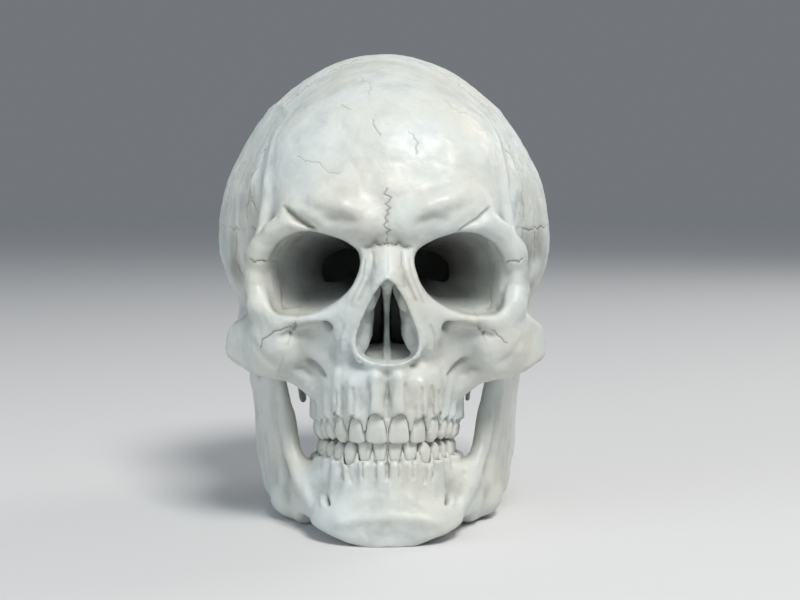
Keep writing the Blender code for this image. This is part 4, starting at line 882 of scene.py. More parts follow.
# Cracks, creases, holes and low ridges (a depth below zero stands proud), drawn on the face, the sides or the
# back:
# path, width, depth, darkness (dark cracks and seams, and painted shade in creases, holes and the gaps by the
# teeth), length and sway of a crack's steps, and whether both sides have it
MARK_ROWS = {
    "front": (
        (((-0.4, 147), (0.6, 141), (-0.5, 134), (0.3, 127)), 0.32, 0.4, 0.6, 1.1, 1, False),
        (((0.3, 127), (-0.8, 124.6)), 0.36, 0.4, 0.7, 1.2, 0.6, False),
        (((0, 124.9), (5, 124.4), (10.5, 121.6)), 0.75, 1, 0.6, 1.6, 0.4),
        (((43, 139.2), (37, 134.2), (28.6, 128.6)), 0.5, 0.8, 0.55, 3, 0.15, False),
        (((-43.5, 139.5), (-37, 134.4), (-28.6, 128.8)), 1, 1.9, 0.8, 3, 0.2, False),
        (((-6.6, 176), (-4.6, 171.5), (-3, 167.5)), 0.28, 0.28, 0.42, 1.2, 0.6, False),
        (((-20, 183), (-17, 181), (-14.6, 180)), 0.28, 0.22, 0.3, 1.1, 0.6, False),
        (((-38, 160), (-30, 157.5), (-24, 153), (-19, 153.5)), 0.28, 0.22, 0.26, 1.3, 0.7, False),
        (((9, 171), (13, 165.5), (12, 160)), 0.28, 0.22, 0.28, 1.2, 0.7, False),
        (((24, 186), (29, 181), (35, 178.5)), 0.28, 0.22, 0.26, 1.2, 0.7, False),
        (((-12, 196), (-7, 191), (-8, 186)), 0.28, 0.22, 0.2, 1.2, 0.7, False),
        (((58, 117.4), (55.5, 115.6), (52.5, 116.6), (50, 115.4)), 0.36, 0.5, 0.65, 1, 0.4),
        (((-53.6, 79.5), (-52, 84), (-48, 86.4), (-42, 88.8), (-37, 90)), 0.36, 0.45, 0.6, 1.7, 0.6, False),
        (((51, 82), (46, 85.4), (42.5, 88)), 0.36, 0.4, 0.5, 1.7, 0.6, False),
        (((44, 89.5), (36, 90.2), (29, 90.8)), 2.2, 1.1, 0.25),
        (((34, 76), (29.5, 72.5), (25.4, 67.5)), 1.1, 2, 0.45),
        (((40, 71.5), (35, 71), (30.5, 67)), 1.3, 1.1, 0.2),
        (((21.4, 85), (22.4, 79), (22.8, 73)), 1.5, 1.2, 0.2),
        (((6.2, 122), (6.4, 116), (7.8, 109), (12, 100)), 0.7, 0.6, 0.3),
        (((9.2, 119), (10.4, 110), (15.5, 99)), 0.6, 0.4, 0.25),
        (((17, 92), (19.5, 86), (19.8, 78)), 0.7, 0.5, 0.2),
        (((10, 131.6), (19, 134.8), (27, 133)), 2.2, 1.3, 0.28),
        (((9, 136), (21, 141), (33, 141.5)), 3.4, -1.1, 0),
        (((22, 90.2), (30, 90.6), (38, 88.2), (46, 84.4)), 1.2, 0.9, 0.3),
        (((30, 84.5), (40, 82), (50, 79)), 3, -0.8, 0),
        (((59.5, 86), (52, 77), (45, 72)), 1.8, 0.7, 0.1),
        (((25.3, 90.4), (24.2, 89)), 1.2, 2.8, 0.9),
        (((39.8, 86.6), (39.5, 86.1)), 0.5, 0.7, 0.5),
        (((25.4, 17.8), (24.9, 16.6)), 0.8, 2.2, 0.9),
        (((27.6, 16.6), (27.4, 15.8)), 1.1, -0.7, 0),
        (((0, 26), (0, 20)), 1.4, -0.7, 0),
        (((0, 20), (0, 13.5)), 2.6, -0.8, 0),
        (((0, 12.8), (12, 11.5), (24, 9)), 2.2, -1, 0),
        (((0, 5), (10, 4.8)), 3.2, 1, 0),
        (((5, 37.5), (4.9, 33)), 0.9, 0.9, 0.3),
        (((10.6, 37), (10.4, 32.5)), 0.9, 0.9, 0.3),
        (((0, 37.5), (0, 31)), 0.8, 0.9, 0.3),
        (((17.2, 37), (16.6, 31)), 1, 0.9, 0.25),
    ),
    "side": (
        (((24, 146), (34, 164), (55, 180), (85, 187), (115, 182), (140, 164), (152, 142)), 1.7, -0.6, 0),
        (((50, 116), (52, 140), (51, 160)), 0.9, -0.8, 0, 5, 0.5),
        (((54, 170), (58, 156), (56, 143), (59, 133)), 0.4, 0.4, 0.55, 2, 1.0),
        (((66, 128), (70, 116), (68, 104)), 0.38, 0.35, 0.4, 2, 0.9),
        (((76, 160), (84, 150), (81, 140)), 0.38, 0.3, 0.4, 2, 0.9),
        (((118, 160), (126, 150), (137, 147)), 0.38, 0.3, 0.4, 2, 0.9),
    ),
    "back": (
        (((0, 99), (14, 101), (32, 98), (48, 88)), 2.4, -1.3, 0),
        (((0, 84), (14, 86), (28, 80)), 2, -0.8, 0),
        (((0, 99), (0, 72)), 1.8, -0.8, 0),
        (((7, 92), (24, 92), (38, 86)), 3, 0.7, 0.15),
    ),
}
MARKS = tuple(Mark(view, *row) for view, rows in MARK_ROWS.items() for row in rows)
# How far back the face goes, how far out the sides start, and how squarely a surface faces its marks
FACE_LIMIT = 52
SIDE_LIMIT = 34
LEAST_FACING = 0.2
FINE_MARK = 1.2
SUTURE_WIDTH = 0.42
SUTURE_DEPTH = 0.45
SUTURE_TONE = 0.7
CLOSED_SUTURE = 0.22
REFINE_REACH = (1.2, 0.7)
SUTURE_REACH = 0.9
# Furrows between the roots of one jaw: side, rise, width, depth and lean to the midline
FURROWS = ((1, 15, 0.8, 1.0, 0.96), (-1, 8.5, 0.75, 0.8, 0.94))
FURROW_START = 1.5
FURROWED_TEETH = 5
# Size and height of the bone's lumps, from the broadest to the finest grain
LUMPS = ((15, 0.45), (6.5, 0.26), (2.8, 0.12), (1.4, 0.05))
TEMPLE_STRANDS = 0.32
TEMPLE_GRAIN = 0.14
PIT_DEPTH = 0.7


def set_shares(thing, name, values):
    """Give a mesh a number at each point, for its material."""
    layer = thing.data.attributes.new(name, "FLOAT", "POINT")
    layer.data.foreach_set("value", np.ascontiguousarray(values, F))


def sampled(grid, corner, cell, points):
    """A grid's value at points, mixed from the eight nearest nodes."""
    place = np.clip((points - corner) / cell, 0, np.array(grid.shape) - 1.001)
    base = place.astype(np.int64)
    share = (place - base).astype(F)
    total = np.zeros(len(points), F)
    for step in np.ndindex(2, 2, 2):
        weight = np.prod(np.where(np.array(step), share, 1 - share), 1)
        total += weight * grid[base[:, 0] + step[0], base[:, 1] + step[1], base[:, 2] + step[2]]
    return total


def lattice(points, scale, seed):
    """Smooth noise from -1 to 1 on points, with a grain of about the scale in millimetres."""
    table = np.random.default_rng(seed).uniform(-1, 1, (32, 32, 32)).astype(F)
    place = points / scale
    base = np.floor(place).astype(np.int64)
    share = (place - base).astype(F)
    share = share * share * (3 - 2 * share)
    total = np.zeros(len(points), F)
    for corner in np.ndindex(2, 2, 2):
        index = (base + corner) % 32
        weight = np.prod(np.where(np.array(corner), share, 1 - share), 1)
        total += weight * table[index[:, 0], index[:, 1], index[:, 2]]
    return total


def crooked(points, step, sway, seed):
    """A path made crooked, the way cracks run."""
    points = np.array(points, float)
    if not step:
        return points
    rng = np.random.default_rng(seed)
    result = [points[0]]
    for start, end in zip(points[:-1], points[1:]):
        run = end - start
        length = np.linalg.norm(run)
        count = max(1, int(length / step))
        side = np.array((-run[1], run[0])) / length
        for index in range(1, count + 1):
            offset = sway * rng.uniform(-1, 1) * (1 + rng.uniform(0, 0.5)) if index < count else 0
            share = (index + rng.uniform(-0.3, 0.3) * (index < count)) / count
            result.append(start + run * share + side * offset)
    return np.array(result)


def path_distance(u, v, path):
    """Distance to a path, and how far along it the nearest place lies from its start and from its end."""
    best, along = np.full(u.shape, FAR, F), np.zeros(u.shape, F)
    covered = 0.0
    for (ax, ay), (bx, by) in zip(path[:-1], path[1:]):
        run = (bx - ax, by - ay)
        length = math.hypot(*run)
        share = np.clip(((u - ax) * run[0] + (v - ay) * run[1]) / length ** 2, 0, 1)
        gap = np.hypot(u - ax - share * run[0], v - ay - share * run[1])
        along = np.where(gap < best, covered + share * length, along)
        best = np.minimum(best, gap)
        covered += length
    return best, along, covered - along


def root_marks():
    """Furrows of the bone between the roots of the front teeth, with a little painted shade along them."""
    marks = []
    for side, rise, width, depth, lean in FURROWS:
        row = tooth_row(side)[:FURROWED_TEETH]
        for (tooth, here), (_, there) in zip(row[:-1], row[1:]):
            x = (here[0] + there[0]) / 2
            start = tooth_neck(tooth, here[1], side) - side * FURROW_START
            path = ((x, start), (x * lean, start + side * rise))
            marks.append(Mark("front", path, width, depth, 0.12, 3, 0.35))
        tooth, place = row[0]
        start = tooth_neck(tooth, place[1], side) - side * FURROW_START
        marks.append(Mark("front", ((0, start), (0, start + side * rise)), width, depth * 0.8, 0.1, 3, 0.2))
    return tuple(marks)


def mark_view(mark, points, normals):
    """A mark's own sideways measure at each point, and how squarely each point faces its view."""
    depth = points[:, 1] + MIDDLE
    across = np.abs(points[:, 0]) if mark.both else points[:, 0]
    if mark.view == "front":
        return across, np.where(depth < FACE_LIMIT, -normals[:, 1], -1)
    if mark.view == "back":
        return across, np.where(depth > FACE_LIMIT * 2, normals[:, 1], -1)
    side = np.where(points[:, 0] < 0, -1, 1)
    return depth, np.where(np.abs(points[:, 0]) > SIDE_LIMIT, normals[:, 0] * side, -1)


def marks_at(points, normals):
    """How far the marks sink each point, how dark they make it (dark cracks, and painted shade in creases and
    holes), and how near the closest fine one is.
    """
    sink, tone = np.zeros(len(points), F), np.zeros(len(points), F)
    nearest_fine = np.full(len(points), FAR, F)
    v = points[:, 2]
    for seed, mark in enumerate(MARKS + root_marks()):
        path = crooked(mark.path, mark.step, mark.sway, seed)
        u, facing = mark_view(mark, points, normals)
        reach = 3 * mark.width + 2
        low, high = path.min(0) - reach, path.max(0) + reach
        inside = (u > low[0]) & (u < high[0]) & (v > low[1]) & (v < high[1])
        index = np.nonzero((facing > LEAST_FACING) & inside)[0]
        if not len(index):
            continue
        gap, from_start, to_end = path_distance(u[index], v[index], path)
        taper = mark.width * 2.2 + 0.3
        fade = 1
        if np.hypot(*(path[-1] - path[0])) >= taper:
            fade = np.clip(to_end / taper, 0, 1)
            fade = fade * (1 if path[0][0] == 0 else np.clip(from_start / taper, 0, 1))
        shape = np.exp(-(gap / mark.width) ** 2) * fade
        sink[index] += mark.depth * shape
        tone[index] = np.maximum(tone[index], mark.tone * shape)
        if mark.width < FINE_MARK:
            nearest_fine[index] = np.minimum(nearest_fine[index], gap)
    return sink, tone, nearest_fine


def refine(mesh, near):
    """Cut the faces near fine lines twice finer each way."""
    bm = bmesh.new()
    bm.from_mesh(mesh)
    edges = [edge for edge in bm.edges if near[edge.verts[0].index] and near[edge.verts[1].index]]
    bmesh.ops.subdivide_edges(bm, edges=edges, cuts=1, use_grid_fill=True)
    bm.to_mesh(mesh)
    bm.free()


def mesh_points(mesh, kind="co"):
    values = np.empty(len(mesh.vertices) * 3, F)
    if kind == "co":
        mesh.vertices.foreach_get("co", values)
    else:
        mesh.vertex_normals.foreach_get("vector", values)
    return values.reshape(-1, 3)


def relief(points):
    """Low lumps and fine grain of the bone's surface, in millimetres."""
    x, y, z = points.T
    grain = sum(lattice(points, size, seed) * height for seed, (size, height) in enumerate(LUMPS, 1))
    temple = rising(np.abs(x), 52, 8) * rising(z, 92, 10) * falling(z, 168, 12)
    temple = temple * falling(y, 40, 15)
    strands = 1 - np.abs(lattice(points * (0.5, 1, 0.2), 3.2, 5)) * 2
    grain += temple * (strands * TEMPLE_STRANDS + lattice(points * (1, 1, 0.35), 1.7, 6) * TEMPLE_GRAIN)
    pits = np.clip(lattice(points, 2.1, 7) - 0.42, 0, 1) * np.clip(lattice(points, 22, 8) * 2, 0, 1)
    return grain - pits * PIT_DEPTH


def blurred(grid, reach):
    """Mean over a box of nodes on each axis."""
    for axis in range(3):
        padded = np.pad(grid, [(reach + 1, reach) if a == axis else (0, 0) for a in range(3)], mode="edge")
        total = np.cumsum(padded, axis, dtype=np.float64)
        count = grid.shape[axis]
        high = np.take(total, np.arange(2 * reach + 1, 2 * reach + 1 + count), axis)
        low = np.take(total, np.arange(count), axis)
        grid = ((high - low) / (2 * reach + 1)).astype(F)
    return grid


def crowding(clay):
    """How full of bone the space round each node is, near and far: grids, corner and cell."""
    full = (mirrored(clay.field)[::2, ::2, ::2] < 0).astype(F)
    corner = np.array((-clay.axes[0][-1], clay.low[1], clay.low[2]))
    cell = clay.cell * 2
    near = blurred(blurred(full, max(1, round(1.8 / cell))), max(1, round(1.8 / cell)))
    far = blurred(blurred(full, round(6 / cell)), round(6 / cell))
    return near, far, corner, cell


def dirt(points, room):
    """Share of painted brown-grey shade: in hollows and crevices and over the temples, and less between the
    roots of the teeth.
    """
    near, far, corner, cell = room
    small = sampled(near, corner, cell, points) - 0.5
    large = sampled(far, corner, cell, points) - 0.46
    x, y, z = points.T
    # Painted shade over the temples, broken up by noise
    temple = rising(np.abs(x), 54, 8) * rising(z, 84, 12) * falling(z, 150, 25)
    temple *= falling(y, 10, 20) * np.clip(0.6 + lattice(points, 11, 9), 0, 1)
    ridges = falling(z, 96, 4) * rising(z, 24, 4) * falling(y, -48, 6)
    # Painted shade where much bone crowds round a point, less between the roots of the teeth
    hollows = np.clip(small * 3.6, 0, 1) * 0.8 + np.clip(large * 3.4, 0, 1) * 0.7
    return hollows * (1 - 0.62 * ridges) + temple * 0.72


def cavity(points):
    """Share of near-black painted shade deep in the eye sockets and the nose."""
    x, y, z = (column.astype(F) for column in points.T)
    depth = y + MIDDLE
    orbit = funnel(orbit_outline(), ORBIT_STATION, 1.2)[2](np.abs(x), y, z) < 0
    nose = funnel(nasal_outline(), NASAL_STATION, 3.0)[2](np.abs(x), y, z) < 0
    inward = rising(depth, 3, 20) * falling(np.abs(x), 34, 17) * rising(z, 90, 16)
    back = rising(depth, 12, 32) * np.clip((z - 92) / 18, 0.3, 1)
    deep = np.where(orbit, np.maximum(inward, back), 0)
    return np.maximum(deep, np.where(nose, rising(depth, 14, 34) * 0.8, 0))


# A crown's outline from neck to biting edge: height, half width, front and back, as shares
CROWN_FORMS = {
    "incisor": ((0, 0.62, 0.80, 0.86), (0.2, 0.80, 0.95, 1), (0.45, 0.94, 0.93, 0.66), (0.7, 1, 0.76, 0.26),
                (0.88, 1.03, 0.58, 0.04), (1, 1.01, 0.46, -0.06)),
    "canine": ((0, 0.56, 0.84, 0.86), (0.3, 0.82, 1, 1), (0.6, 1.02, 0.9, 0.62), (0.82, 0.78, 0.7, 0.36),
               (1, 0.26, 0.40, 0.12)),
    "premolar": ((0, 0.60, 0.80, 0.82), (0.3, 0.86, 0.98, 1), (0.65, 1.03, 0.92, 0.95),
                 (0.88, 0.93, 0.74, 0.8), (1, 0.66, 0.52, 0.6)),
    "molar": ((0, 0.80, 0.86, 0.86), (0.35, 0.97, 1, 1), (0.75, 1.02, 0.92, 0.95), (1, 0.84, 0.74, 0.8)),
}
# The same for a root: height, half width and half depth
ROOT_FORM = ((-1.0, 0.22, 0.26), (-0.85, 0.42, 0.46), (-0.5, 0.6, 0.66), (0, 0.72, 0.84))
# Each cusp's place across and out, and its spread, depth of the grooves, and fillet
CUSPS = {"incisor": (), "canine": (), "premolar": ((0.0, 0.42), (0.0, -0.44)),
         "molar": ((-0.44, 0.46), (0.40, 0.46), (-0.42, -0.46), (0.42, -0.42))}
CUSP_SPREAD = 0.24
GROOVE_DEPTH = 1.7
EDGE_FILLET = 0.9
# How far a tooth passes the biting plane, by kind and side; the others stay a little short of it
OVERBITE = {("incisor", 1): 0.6, ("incisor", -1): 0.9, ("canine", 1): 0.6, ("canine", -1): 0.2}
BITE_GAP = -0.2
# How far up the crown the bone between two teeth reaches
PAPILLA = {"incisor": 0.56, "canine": 0.52, "premolar": 0.42, "molar": 0.32}
CROWN_TILT = {"incisor": 0.07, "canine": 0.05, "premolar": 0.0, "molar": 0.0}
CREVICE = 0.14
SWAY = 0.02


def tooth_kind(tooth):
    """Which of the four crown forms a tooth has."""
    for kind in ("incisor", "canine", "premolar"):
        if kind in tooth.name:
            return kind
    return "molar"


def tooth_neck(tooth, y, side):
    """Height of a tooth's neck; side is 1 above and -1 below."""
    return bite_level(y) - side * OVERBITE.get((tooth_kind(tooth), side), BITE_GAP) + side * tooth.crown


def tooth_distance(tooth, u, v, h):
    """Signed distance to a tooth from across its row, outwards, and from its neck to its edge."""
    kind = tooth_kind(tooth)
    heights, widths, fronts, backs = (np.array(column) for column in zip(*CROWN_FORMS[kind]))
    root = np.array(ROOT_FORM)
    share = h / F(tooth.crown)
    deep = h / F(tooth.root)
    scale = widths[0] / root[-1, 1]
    root_width, root_depth = (np.interp(deep, root[:, 0], root[:, column]) for column in (1, 2))
    width = np.where(h > 0, np.interp(share, heights, widths), root_width * scale)
    front = np.where(h > 0, np.interp(share, heights, fronts), root_depth)
    back = np.where(h > 0, np.interp(share, heights, backs), root_depth)
    half_width = (width * (tooth.width / 2)).astype(F)
    front, back = (front * tooth.depth / 2).astype(F), (back * tooth.depth / 2).astype(F)
    middle, half_depth = (front - back) / 2, np.maximum((front + back) / 2, F(0.3))
    v = v - F(CROWN_TILT[kind]) * np.maximum(h, 0) + F(RIDGE_LEAN) * np.minimum(h, 0) * F(-1)
    power = F(3.3 if kind == "incisor" else 2.7)
    total = np.abs(u / half_width) ** power + np.abs((v - middle) / half_depth) ** power + F(1e-9)
    ratio = total ** (1 / power)
    body = (ratio - 1) * np.minimum(half_width, half_depth)
    lie = np.abs(u) / F(tooth.width / 2)
    if CUSPS[kind]:
        peak = np.zeros(np.broadcast(u, v).shape, F)
        for across, out in CUSPS[kind]:
            gap = (u - F(across * tooth.width / 2)) ** 2 + (v - F(out * tooth.depth / 2)) ** 2
            peak = np.maximum(peak, np.exp(-(gap / F(tooth.width * CUSP_SPREAD) ** 2)))
        top = F(tooth.crown) - F(GROOVE_DEPTH) * (1 - peak)
    else:
        top = F(tooth.crown) - F(0.5 if kind == "incisor" else 0.9) * lie ** 4
    value = -joined(-body, -(h - top) * F(0.85), EDGE_FILLET)
    return np.maximum(value, -F(tooth.root) - h)


def tooth_frame(place, neck, side):
    """A tooth's own axes in the skull's frame."""
    x, y, turn = place
    cosine, sine = math.cos(turn), math.sin(turn)
    axes = np.array(((cosine, sine, 0), (sine, -cosine, 0), (0, 0, -side)))
    return np.array((x, y, neck)), axes


def add_papillae(clay, side):
    """Points of bone that fill the notches between the crowns."""
    for tooth, place in tooth_row(side):
        neck = tooth_neck(tooth, place[1], side)
        centre, axes = tooth_frame(place, neck, side)
        tip = PAPILLA[tooth_kind(tooth)] * tooth.crown
        out = tooth.depth / 2 - 1.0
        for across in (-tooth.width / 2, tooth.width / 2):
            path = [centre + across * axes[0] + away * axes[1] + up * axes[2]
                    for away, up in ((out - 2.2, -4.0), (out - 0.7, 0.2), (out - 0.6, tip))]
            clay.put(limb(path, (2.0, 1.6, 0.75)), 1.0, 1)


def round_teeth(clay, side):
    """Scallop the bone's edge at the necks and free a fine crevice round each tooth."""
    lowest, rise = (-0.6, 1) if side > 0 else (1.3, 0.75)
    for tooth, place in tooth_row(side):
        neck = tooth_neck(tooth, place[1], side)
        centre, axes = tooth_frame(place, neck, side)
        half = tooth.width / 2
        reach_share = PAPILLA[tooth_kind(tooth)]

        def own(x, y, z):
            point = (x - F(centre[0]), y - F(centre[1]), z - F(centre[2]))
            return [sum(F(axis[i]) * point[i] for i in range(3)) for axis in axes]

        def arch(x, y, z):
            u, v, h = own(x, y, z)
            margin = F(lowest) + F(tooth.crown * reach_share * rise) * np.abs(u / F(half)) ** F(2.5)
            beside = np.maximum(np.abs(u) - F(half), (margin - h) * F(0.8))
            return np.maximum(beside, np.abs(v) - F(tooth.depth / 2 + 5))

        def crevice(x, y, z):
            u, v, h = own(x, y, z)
            return np.maximum(tooth_distance(tooth, u, v, h) - F(CREVICE), -F(2.5) - h)

        reach = np.array((half + 6, half + 6, tooth.crown + 3))
        clay.put((centre - reach, centre + reach, arch), 0.9, -1)
        clay.put((centre - reach, centre + reach, crevice), 0.2, -1)


def tooth_grid(tooth):
    """Points in the tooth's own axes, and faces."""
    reach = (tooth.width / 2 + 1, tooth.depth / 2 + 1 + tooth.root * RIDGE_LEAN)
    lengths = (2 * reach[0], 2 * reach[1], tooth.crown + tooth.root + 2)
    counts = [int(length / TOOTH_CELL) + 3 for length in lengths]
    low = np.array((-reach[0], -reach[1], -tooth.root - 1))
    axes = [(a + TOOTH_CELL * np.arange(count)).astype(F) for a, count in zip(low, counts)]
    field = tooth_distance(tooth, *np.ix_(*axes))
    return main_body(*surface(field, low, TOOTH_CELL))


def build_teeth():
    """Every tooth of both jaws, each on its body."""
    enamel = enamel_material()
    for side, jaw, body in ((1, "upper", "cranium"), (-1, "lower", "mandible")):
        for index, (tooth, place) in enumerate(tooth_row(side)):
            local_points, faces = tooth_grid(tooth)
            centre, axes = tooth_frame(place, tooth_neck(tooth, place[1], side), side)
            for mirror, label in ((1, "left"), (-1, "right")):
                sway = SWAY * math.sin(7.3 * index + 2.1 * mirror + side)
                u, v, h = local_points.T
                bent = np.stack((u + h * sway, v + h * sway * 0.6, h), 1)
                world = bent @ axes + centre
                world[:, 0] *= mirror
                name = f"{jaw}_{label}_{tooth.name}"
                thing = new_mesh(name + "_look", world + (0, SHIFT, 0), faces)
                set_shares(thing, "crown", np.clip(h / 0.8 + 0.5, 0, 1))
                # Painted shade at the tooth's neck and beside its neighbours
                set_shares(thing, "recess", tooth_shade(tooth, u, h))
                thing.data.materials.append(enamel)
                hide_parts(name)
                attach(thing, body)


def tooth_shade(tooth, u, h):
    """How much painted shade lies on a tooth: at its neck and beside its neighbours."""
    neck = np.exp(-(h / 1.1) ** 2)
    side = np.clip((np.abs(u) / (tooth.width / 2) - 0.72) / 0.25, 0, 1)
    return np.clip(0.32 * neck + 0.22 * side, 0, 1)


PALE = (0.63, 0.67, 0.655, 1)
WARM = (0.62, 0.62, 0.56, 1)
GREY = (0.36, 0.41, 0.41, 1)
# Brown for the painted shade in hollows, creases and on the teeth, and for the dark cracks
SHADE_AND_CRACK_BROWN = (0.145, 0.125, 0.10, 1)
# Near-black of the painted shade deep in the eye sockets and the nose
SOCKET_SHADE = (0.012, 0.011, 0.010, 1)
ENAMEL = (0.66, 0.675, 0.625, 1)
NECK = (0.36, 0.33, 0.26, 1)


class Nodes:
    """A small helper for making a material's nodes."""

    def __init__(self, name):
        self.material = bpy.data.materials.new(name)
        self.material.use_nodes = True
        self.tree = self.material.node_tree
        self.shader = self.tree.nodes["Principled BSDF"]
        self.place = self.tree.nodes.new("ShaderNodeTexCoord").outputs["Object"]

    def put(self, socket, value):
        if isinstance(value, bpy.types.NodeSocket):
            self.tree.links.new(value, socket)
        else:
            socket.default_value = value

    def noise(self, scale, detail=2.0, stretch=(1, 1, 1)):
        """Noise whose grain is about 1 / scale metres."""
        mapping = self.tree.nodes.new("ShaderNodeMapping")
        self.put(mapping.inputs["Vector"], self.place)
        mapping.inputs["Scale"].default_value = stretch
        node = self.tree.nodes.new("ShaderNodeTexNoise")
        self.put(node.inputs["Vector"], mapping.outputs[0])
        node.inputs["Scale"].default_value = scale
        node.inputs["Detail"].default_value = detail
        return node.outputs["Fac"]

    def share(self, name):
        node = self.tree.nodes.new("ShaderNodeAttribute")
        node.attribute_name = name
        return node.outputs["Fac"]

    def ramp(self, value, low, high, to_low=0.0, to_high=1.0):
        node = self.tree.nodes.new("ShaderNodeMapRange")
        for socket, number in zip(list(node.inputs)[:5], (value, low, high, to_low, to_high)):
            self.put(socket, number)
        return node.outputs[0]

    def times(self, a, b, kind="MULTIPLY"):
        node = self.tree.nodes.new("ShaderNodeMath")
        node.operation = kind
        node.use_clamp = True
        self.put(node.inputs[0], a)
        self.put(node.inputs[1], b)
        return node.outputs[0]

    def mix(self, factor, a, b):
        node = self.tree.nodes.new("ShaderNodeMix")
        node.data_type = "RGBA"
        for key, value in (("Factor_Float", factor), ("A_Color", a), ("B_Color", b)):
            self.put(next(socket for socket in node.inputs if socket.identifier == key), value)
        return next(socket for socket in node.outputs if socket.identifier == "Result_Color")

    def bump(self, height, strength, distance):
        node = self.tree.nodes.new("ShaderNodeBump")
        node.inputs["Strength"].default_value = strength
        node.inputs["Distance"].default_value = distance
        self.put(node.inputs["Height"], height)
        self.put(self.shader.inputs["Normal"], node.outputs[0])


def bone_material():
    """Pale, cool bone with warm clouds, painted shade in its hollows and deep in its sockets, dark cracks
    with painted shade in creases and holes, and a soft gloss.
    """
    nodes = Nodes("bone")
    clouds = nodes.ramp(nodes.noise(28, 4), 0.38, 0.66)
    colour = nodes.mix(clouds, PALE, WARM)
    colour = nodes.mix(nodes.ramp(nodes.noise(75, 5), 0.50, 0.74, 0, 0.42), colour, GREY)
    colour = nodes.mix(nodes.ramp(nodes.noise(900, 2), 0.62, 0.78, 0, 0.28), colour, GREY)
    # Painted brown-grey shade in the hollows and over the temples; it also roughens the surface
    dirt = nodes.times(nodes.share("dirt"), nodes.ramp(nodes.noise(140, 4), 0.25, 0.75, 0.75, 1.25))
    colour = nodes.mix(nodes.times(dirt, 0.72), colour, SHADE_AND_CRACK_BROWN)
    # Dark cracks and sutures, and painted shade in creases, holes and the gaps by the teeth
    colour = nodes.mix(nodes.times(nodes.share("crack"), 0.85), colour, SHADE_AND_CRACK_BROWN)
    # Near-black painted shade deep in the eye sockets and the nose
    colour = nodes.mix(nodes.times(nodes.share("cavity"), 0.93), colour, SOCKET_SHADE)
    nodes.put(nodes.shader.inputs["Base Color"], colour)
    rough = nodes.ramp(nodes.noise(160, 3), 0.3, 0.7, 0.36, 0.52)
    rough = nodes.times(rough, nodes.times(dirt, 0.35), "ADD")
    nodes.put(nodes.shader.inputs["Roughness"], rough)
    grain = nodes.times(nodes.noise(420, 6), nodes.times(nodes.noise(1500, 2), 0.35), "ADD")
    nodes.bump(grain, 0.32, 0.0005)
    nodes.shader.inputs["Specular IOR Level"].default_value = 0.5
    return nodes.material


def enamel_material():
    """Tooth: smooth pale crown with painted shade at the neck and between teeth, a darker brown root below
    the neck, and faint upright lines.
    """
    nodes = Nodes("enamel")
    colour = nodes.mix(nodes.ramp(nodes.noise(120, 3), 0.35, 0.7), ENAMEL, WARM)
    colour = nodes.mix(nodes.ramp(nodes.noise(500, 3, (1, 1, 0.15)), 0.5, 0.75, 0, 0.2), colour, GREY)
    # Painted shade at the neck and beside the neighbouring teeth
    colour = nodes.mix(nodes.times(nodes.share("recess"), 0.6), colour, SHADE_AND_CRACK_BROWN)
    root = nodes.times(nodes.ramp(nodes.share("crown"), 0, 1, 1, 0), 0.75)
    colour = nodes.mix(root, colour, NECK)
    nodes.put(nodes.shader.inputs["Base Color"], colour)
    nodes.put(nodes.shader.inputs["Roughness"], nodes.ramp(nodes.noise(300, 3), 0.3, 0.7, 0.26, 0.4))
    nodes.bump(nodes.noise(380, 4, (1, 1, 0.3)), 0.2, 0.0003)
    return nodes.material


# Each lamp's name, place, size, power and colour
LAMPS = (
    ("key", (0.55, -1.25, 1.95), 0.75, 46.0, (1.0, 0.985, 0.955)),
    ("fill", (-1.9, -1.1, 0.9), 1.3, 11.0, (0.80, 0.91, 1.0)),
    ("rim", (1.5, 1.1, 1.5), 1.0, 12.0, (1.0, 0.97, 0.93)),
)
LAMP_AIM = (0, 0, 0.1)
# The photograph's viewing angle in degrees, the camera's distance, and its focal length in pixels
ELEVATION = 4
AZIMUTH = -1.2
DISTANCE = 0.550
FOCUS = 1345
SENSOR = 36
PICTURE_WIDTH = 800
AIM_ACROSS = 0.0052
AIM_ALONG = -0.0875
AIM_UP = 0.101
FLOOR_REACH = 60
FLOOR_COLOUR = (0.66, 0.66, 0.66, 1)
ROOM_COLOUR = (0.80, 0.87, 0.95, 1)
ROOM_STRENGTH = 0.30
BACKDROP_COLOUR = (0.17, 0.182, 0.195, 1)


def light(name, place, size, power, colour):
    """A square lamp that points at the skull."""
    lamp = bpy.data.lights.new(name, "AREA")
    lamp.size = size
    lamp.energy = power
    lamp.color = colour
    holder = bpy.data.objects.new(name, lamp)
    holder.location = place
    holder.rotation_euler = (Vector(LAMP_AIM) - Vector(place)).to_track_quat("-Z", "Y").to_euler()
    bpy.context.scene.collection.objects.link(holder)


def place_camera():
    """The photograph's viewing angle: four degrees above the horizon and a little to the skull's right."""
    camera = bpy.data.cameras.new("camera")
    camera.sensor_width = SENSOR
    camera.lens = FOCUS * SENSOR / PICTURE_WIDTH
    holder = bpy.data.objects.new("camera", camera)
    elevation, azimuth = math.radians(ELEVATION), math.radians(AZIMUTH)
    away = Vector((math.sin(azimuth) * math.cos(elevation), -math.cos(azimuth) * math.cos(elevation),
                   math.sin(elevation)))
    target = Vector((AIM_ACROSS, AIM_ALONG + SHIFT * MM, AIM_UP))
    holder.location = target + away * DISTANCE
    holder.rotation_euler = (-away).to_track_quat("-Z", "Y").to_euler()
    bpy.context.scene.collection.objects.link(holder)
    bpy.context.scene.camera = holder


